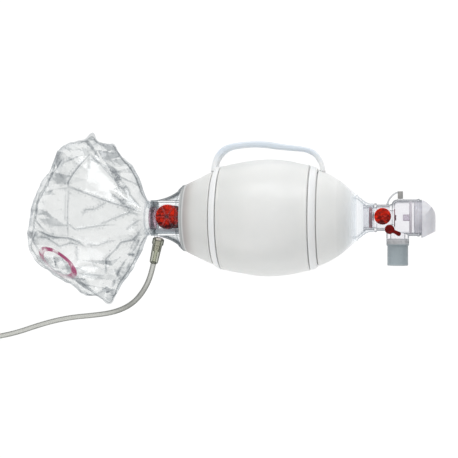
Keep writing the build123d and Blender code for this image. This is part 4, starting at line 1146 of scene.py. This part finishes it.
# painted light and shade from the facets' slopes, stronger near the rim
tone = np.clip(tone * both_sides * (0.34 + 0.75 * near_rim), -1, 1)
print("tone", tone.std().round(3), np.percentile(tone, [5, 25, 50, 75, 95]).round(3))
attribute = mesh.attributes.new("tone", "FLOAT", "POINT")
attribute.data.foreach_set("value", tone)

material, tree, out = mat("reservoir_film")
p = coords(tree)
painted_fold_shade = node(tree, "ShaderNodeAttribute", {"attribute_name": "fold"}).outputs["Fac"]
weld_a = node(tree, "ShaderNodeAttribute", {"attribute_name": "weld"}).outputs["Fac"]
top_a = node(tree, "ShaderNodeAttribute", {"attribute_name": "top"}).outputs["Fac"]
painted_slope_light = node(tree, "ShaderNodeAttribute", {"attribute_name": "tone"}).outputs["Fac"]
crumple = node(tree, "ShaderNodeTexVoronoi", {"feature": "DISTANCE_TO_EDGE"}, Vector=p, Scale=62.0, Randomness=1.0).outputs["Distance"]
crumple = map_range(tree, crumple, 0.0, 0.12, 0.0, 1.0)
slow = noise_tex(tree, 26.0, 4.0, 0.6, 0.8, vector=p)
fine = noise_tex(tree, 240.0, 3.0, vector=p)
n1 = bump(tree, slow, 0.5, 0.0022)
n2 = bump(tree, crumple, 0.25, 0.0003, n1)
n3 = bump(tree, fine, 0.2, 0.0001, n2)
facing = node(tree, "ShaderNodeLayerWeight", Blend=0.5, Normal=n2).outputs["Facing"]
# painted shade: the film's tint darkens where its surface turns away
painted_edge_shade = math_node(tree, "POWER", facing, 4.5)
# painted shade: the tint darkens at folds, along crease lines and where the surface turns away
shade = math_node(tree, "ADD", math_node(tree, "MULTIPLY", painted_fold_shade, 0.9), math_node(tree, "MULTIPLY", painted_edge_shade, 0.95), True)
shade = math_node(tree, "ADD", shade, math_node(tree, "MULTIPLY", weld_a, 0.30), True)
shade = math_node(tree, "ADD", shade, map_range(tree, slow, 0.3, 0.7, -0.03, 0.05), True)
# painted light and shade from the facet slopes
shade = math_node(tree, "ADD", shade, map_range(tree, painted_slope_light, -0.30, 0.30, -0.50, 0.60), True)
tint = ramp(tree, shade, ((0.0, (0.930, 0.936, 0.933)), (0.10, (0.900, 0.908, 0.905)), (0.45, (0.60, 0.62, 0.63)), (1.0, (0.20, 0.22, 0.24))))
# a plain oval printed on the top sheet, the ink thin in places
at = node(tree, "ShaderNodeMapping", {"vector_type": "TEXTURE"}, Vector=p, Location=(-0.1908, -0.0500, 0.0), Rotation=(0.0, 0.0, math.radians(-30.0)), Scale=(0.0235, 0.0118, 1.0)).outputs["Vector"]
flat_at = node(tree, "ShaderNodeVectorMath", {"operation": "MULTIPLY"})
tree.links.new(at, flat_at.inputs[0])
flat_at.inputs[1].default_value = (1.0, 1.0, 0.0)
length = node(tree, "ShaderNodeVectorMath", {"operation": "LENGTH"})
tree.links.new(flat_at.outputs["Vector"], length.inputs[0])
off = math_node(tree, "ABSOLUTE", math_node(tree, "SUBTRACT", length.outputs["Value"], 1.0))
ring = map_range(tree, off, 0.125, 0.19, 1.0, 0.0)
worn = map_range(tree, noise_tex(tree, 95.0, 3.0, vector=p), 0.36, 0.52, 0.25, 1.0)
local_y = node(tree, "ShaderNodeSeparateXYZ", Vector=at).outputs["Y"]
fade = map_range(tree, local_y, -0.75, -0.25, 0.22, 1.0)
ink = math_node(tree, "MULTIPLY", math_node(tree, "MULTIPLY", math_node(tree, "MULTIPLY", ring, worn), fade), top_a, True)
clear = node(tree, "ShaderNodeBsdfTransparent", Color=tint)
gloss_colour = ramp(tree, slow, ((0.3, (0.78, 0.81, 0.84)), (0.7, (0.92, 0.925, 0.93))))
shiny = node(tree, "ShaderNodeBsdfGlossy", Color=gloss_colour, Roughness=map_range(tree, slow, 0.3, 0.7, 0.12, 0.30), Normal=n3)
share = math_node(tree, "ADD", math_node(tree, "MULTIPLY", math_node(tree, "POWER", facing, 3.6), 0.62), 0.07, True)
mix = tree.nodes.new("ShaderNodeMixShader")
tree.links.new(share, mix.inputs[0])
tree.links.new(clear.outputs[0], mix.inputs[1])
tree.links.new(shiny.outputs[0], mix.inputs[2])
print_ink = principled(tree, Base_Color=(0.36, 0.02, 0.13, 1.0), Roughness=0.35, Normal=n2)
inked = tree.nodes.new("ShaderNodeMixShader")
tree.links.new(math_node(tree, "MULTIPLY", ink, 0.95), inked.inputs[0])
tree.links.new(mix.outputs[0], inked.inputs[1])
tree.links.new(print_ink.outputs[0], inked.inputs[2])
tree.links.new(inked.outputs[0], out.inputs["Surface"])
give(film, material)
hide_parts("reservoir_bag")
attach(film, "bag")

# ------------------------------------------------------------------ front collar: clear, ridged, flaring down to the neck
collar = lathe_x("front_collar_shell", [
    (134.3, 21.0), (134.6, 22.2), (139.4, 22.7), (141.4, 23.3), (141.6, 24.6), (141.8, 25.0), (142.4, 25.15), (142.9, 24.9), (143.2, 24.1), (144.0, 23.0), (145.0, 21.9), (145.9, 21.1),
    (146.2, 21.2), (146.8, 21.1), (147.2, 20.5), (148.2, 19.4), (149.2, 18.5), (149.5, 18.6), (150.0, 18.5), (150.4, 17.9), (151.6, 17.0), (152.8, 16.3), (153.1, 16.4), (153.6, 16.3), (154.0, 15.8),
    (156.0, 15.3), (159.6, 15.15), (160.2, 15.0), (160.4, 14.6), (160.4, 13.5), (157.0, 13.45), (152.6, 13.5), (151.0, 14.4), (148.6, 16.4), (145.6, 19.0), (142.4, 21.3), (139.0, 21.2)], sides=144)
give(collar, m_collar)
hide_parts("front_collar")
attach(collar, "bag")


# ------------------------------------------------------------------ red parts: the intake flap, the relief valve's top and the manometer port's cap
def ridge(x, at, half):
    return max(0.0, 1.0 - abs(x - at) / half)


def flap_relief(r, a):
    h = 0.42 * min(1.0, 1.6 * ridge(r, 12.5, 0.75)) + 0.42 * min(1.0, 1.6 * ridge(r, 2.7, 0.8))
    if 3.2 < r < 12.2:
        for k in range(8):
            turn = a - (2 * math.pi * k / 8 + 0.19 + 0.055 * (r - 3.0))
            turn = (turn + math.pi) % (2 * math.pi) - math.pi
            h = max(h, 0.40 * min(1.0, 1.7 * ridge(turn * r, 0.0, 0.85)))
        h += 0.10 * math.sin(r * 2.6)
    return min(h, 0.43)


flap_outline = [(1.62, 79.2, False), (1.62, 80.0, False), (1.8, 80.1, True)]
r = 2.1
while r < 13.05:
    flap_outline.append((r, 80.1, True))
    r += 0.34
flap_outline += [(13.2, 80.02, False), (13.42, 79.8, False), (13.5, 79.4, False), (13.42, 79.05, False), (13.1, 78.95, False), (8.0, 78.95, False), (3.0, 78.95, False), (1.8, 79.0, False)]
flap = lathe_z("intake_flap", (-62.4, 1.2), flap_outline, sides=180, relief=flap_relief, hole=True)
give(flap, m_red)
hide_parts("intake_disc")
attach(flap, "intake_valve")


def button_relief(r, a):
    h = 0.55 * min(1.0, 1.5 * ridge(r, 7.7, 0.8))
    if r < 6.9:
        h += 0.30 * (1 - (r / 6.9) ** 2)
        for k in range(6):
            turn = a - (2 * math.pi * k / 6 + 0.3 + 0.16 * r)
            turn = (turn + math.pi) % (2 * math.pi) - math.pi
            if 1.7 < r < 6.4:
                h = max(h, 0.30 * (1 - (r / 6.9) ** 2) + 0.34 * min(1.0, 1.6 * ridge(turn * r, 0.0, 0.9)))
        if r < 1.6:
            h -= 0.5 * (1 - (r / 1.6) ** 2)
    return h


top_outline = [(0.0, 78.72, False), (5.0, 78.72, False), (8.4, 78.72, False), (8.75, 78.85, False), (8.85, 79.1, False), (8.85, 80.6, False), (8.78, 81.1, False), (8.55, 81.3, True)]
r = 8.3
while r > 0.2:
    top_outline.append((r, 81.35, True))
    r -= 0.3
top_outline.append((0.0, 81.35, True))
button = lathe_z("relief_top", (169.7, 1.4), top_outline, sides=144, relief=button_relief)
give(button, m_red_plastic)
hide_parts("relief_button")
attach(button, "relief_button")

cap = lathe_z("manometer_cap_moulding", (177.0, -12.4), [
    (3.7, 81.15, False), (4.7, 81.12, False), (4.95, 81.3, False), (4.9, 82.0, False), (4.7, 82.3, False), (4.7, 83.4, False), (4.95, 83.8, False), (5.0, 84.6, False), (5.0, 85.6, False), (4.7, 86.2, False), (4.1, 86.5, False),
    (2.8, 86.6, False), (2.4, 86.35, False), (0.8, 86.3, False), (0.35, 86.3, False), (0.35, 85.0, False), (3.65, 84.75, False)], sides=96, hole=True)
bm = bmesh.new()
bm.from_mesh(cap.data)
plug = bmesh.ops.create_cone(bm, cap_ends=True, segments=24, radius1=0.6 * MM, radius2=0.6 * MM, depth=1.1 * MM)
bmesh.ops.translate(bm, verts=plug["verts"], vec=(0.177, -0.0124, 0.0856))
tab_way = np.array((188.1 - 177.0, -17.9 + 12.4))
tab_way /= np.linalg.norm(tab_way)
tab_side = np.array((-tab_way[1], tab_way[0]))
tab_edge = [(2.0, 2.5), (4.5, 2.1), (7.0, 1.95), (9.2, 2.2), (11.0, 2.35), (12.3, 1.8), (12.9, 0.6)]
tab_line = tab_edge + [(d, -w) for d, w in reversed(tab_edge)]
tab_line = resample(catmull(tab_line, 5, closed=True), 60, closed=True)
rows = []
for z, pinch in ((83.95, 0.86), (84.15, 1.0), (85.6, 1.0), (85.9, 0.84)):
    row = []
    for d, w in tab_line:
        p = np.array((177.0, -12.4)) + tab_way * (7.6 + (d - 7.6) * (0.96 if pinch < 1 else 1.0)) + tab_side * w * pinch
        row.append(bm.verts.new((p[0] * MM, p[1] * MM, z * MM)))
    rows.append(row)
for ra, rb in zip(rows, rows[1:]):
    for k in range(60):
        bm.faces.new((ra[k], ra[(k + 1) % 60], rb[(k + 1) % 60], rb[k]))
bm.faces.new(list(reversed(rows[0])))
bm.faces.new(rows[-1])
bmesh.ops.recalc_face_normals(bm, faces=bm.faces)
bm.to_mesh(cap.data)
bm.free()
blend_cap = cap.modifiers.new("join", "REMESH")
blend_cap.mode = "VOXEL"
blend_cap.voxel_size = 0.00018
soften = cap.modifiers.new("soften", "SMOOTH")
soften.factor = 0.5
soften.iterations = 5
apply_modifiers(cap)
give(cap, m_dark_red)
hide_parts("manometer_cap")
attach(cap, "manometer_cap")

# ------------------------------------------------------------------ port tether
tether_line = resample(catmull([(174.9, 13.9, 63.5), (175.1, 16.2, 63.5), (176.9, 20.2, 63.5), (179.8, 23.6, 63.5), (183.2, 26.2, 63.5), (186.0, 27.2, 63.5)], 8), 40)
tether = tube_mesh("port_tether_cord", tether_line, lambda f: 0.85 + 0.5 * smoothstep(0.14, 0.0, f), sides=14)
give(tether, m_tether)
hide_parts("port_tether")
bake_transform(tether)

# ------------------------------------------------------------------ floor, light
bpy.ops.mesh.primitive_plane_add(size=60.0, location=(0, 0, -0.0002))
floor = bpy.context.object
floor.name = "floor"
material, tree, out = mat("pale_floor")
tone = ramp(tree, noise_tex(tree, 3.0, 2.0), ((0.3, (0.10, 0.10, 0.10)), (0.7, (0.11, 0.11, 0.11))))
diffuse = node(tree, "ShaderNodeBsdfDiffuse", Color=tone)
glow = node(tree, "ShaderNodeEmission", Color=(1.0, 1.0, 1.0, 1.0), Strength=0.95)
both = tree.nodes.new("ShaderNodeAddShader")
tree.links.new(diffuse.outputs[0], both.inputs[0])
tree.links.new(glow.outputs[0], both.inputs[1])
tree.links.new(both.outputs[0], out.inputs["Surface"])
floor.data.materials.append(material)

world = bpy.data.worlds.new("studio")
scene.world = world
world.use_nodes = True
tree = world.node_tree
tree.nodes.clear()
out = tree.nodes.new("ShaderNodeOutputWorld")
generated = node(tree, "ShaderNodeTexCoord").outputs["Generated"]
split = node(tree, "ShaderNodeSeparateXYZ", Vector=generated)
sky = ramp(tree, split.outputs["Z"], ((0.0, (0.34, 0.35, 0.36)), (0.22, (0.55, 0.56, 0.57)), (0.5, (0.84, 0.845, 0.85)), (0.85, (0.95, 0.95, 0.95))))
background = node(tree, "ShaderNodeBackground", Color=sky, Strength=0.70)
tree.links.new(background.outputs[0], out.inputs["Surface"])


def area_light(name, at, target, size, size_y, power):
    data = bpy.data.lights.new(name, "AREA")
    data.shape = "RECTANGLE"
    data.size, data.size_y, data.energy = size, size_y, power
    obj = add_object(name, data)
    obj.location = at
    obj.rotation_euler = (Vector(target) - Vector(at)).to_track_quat("-Z", "Y").to_euler()
    return obj


area_light("key", (0.10, 1.15, 0.80), (0.0, 0.0, 0.05), 1.3, 0.6, 9.8)
area_light("fill", (-0.5, -1.0, 0.9), (0.0, 0.0, 0.05), 0.9, 0.7, 5.0)
scene.view_settings.view_transform = "Standard"
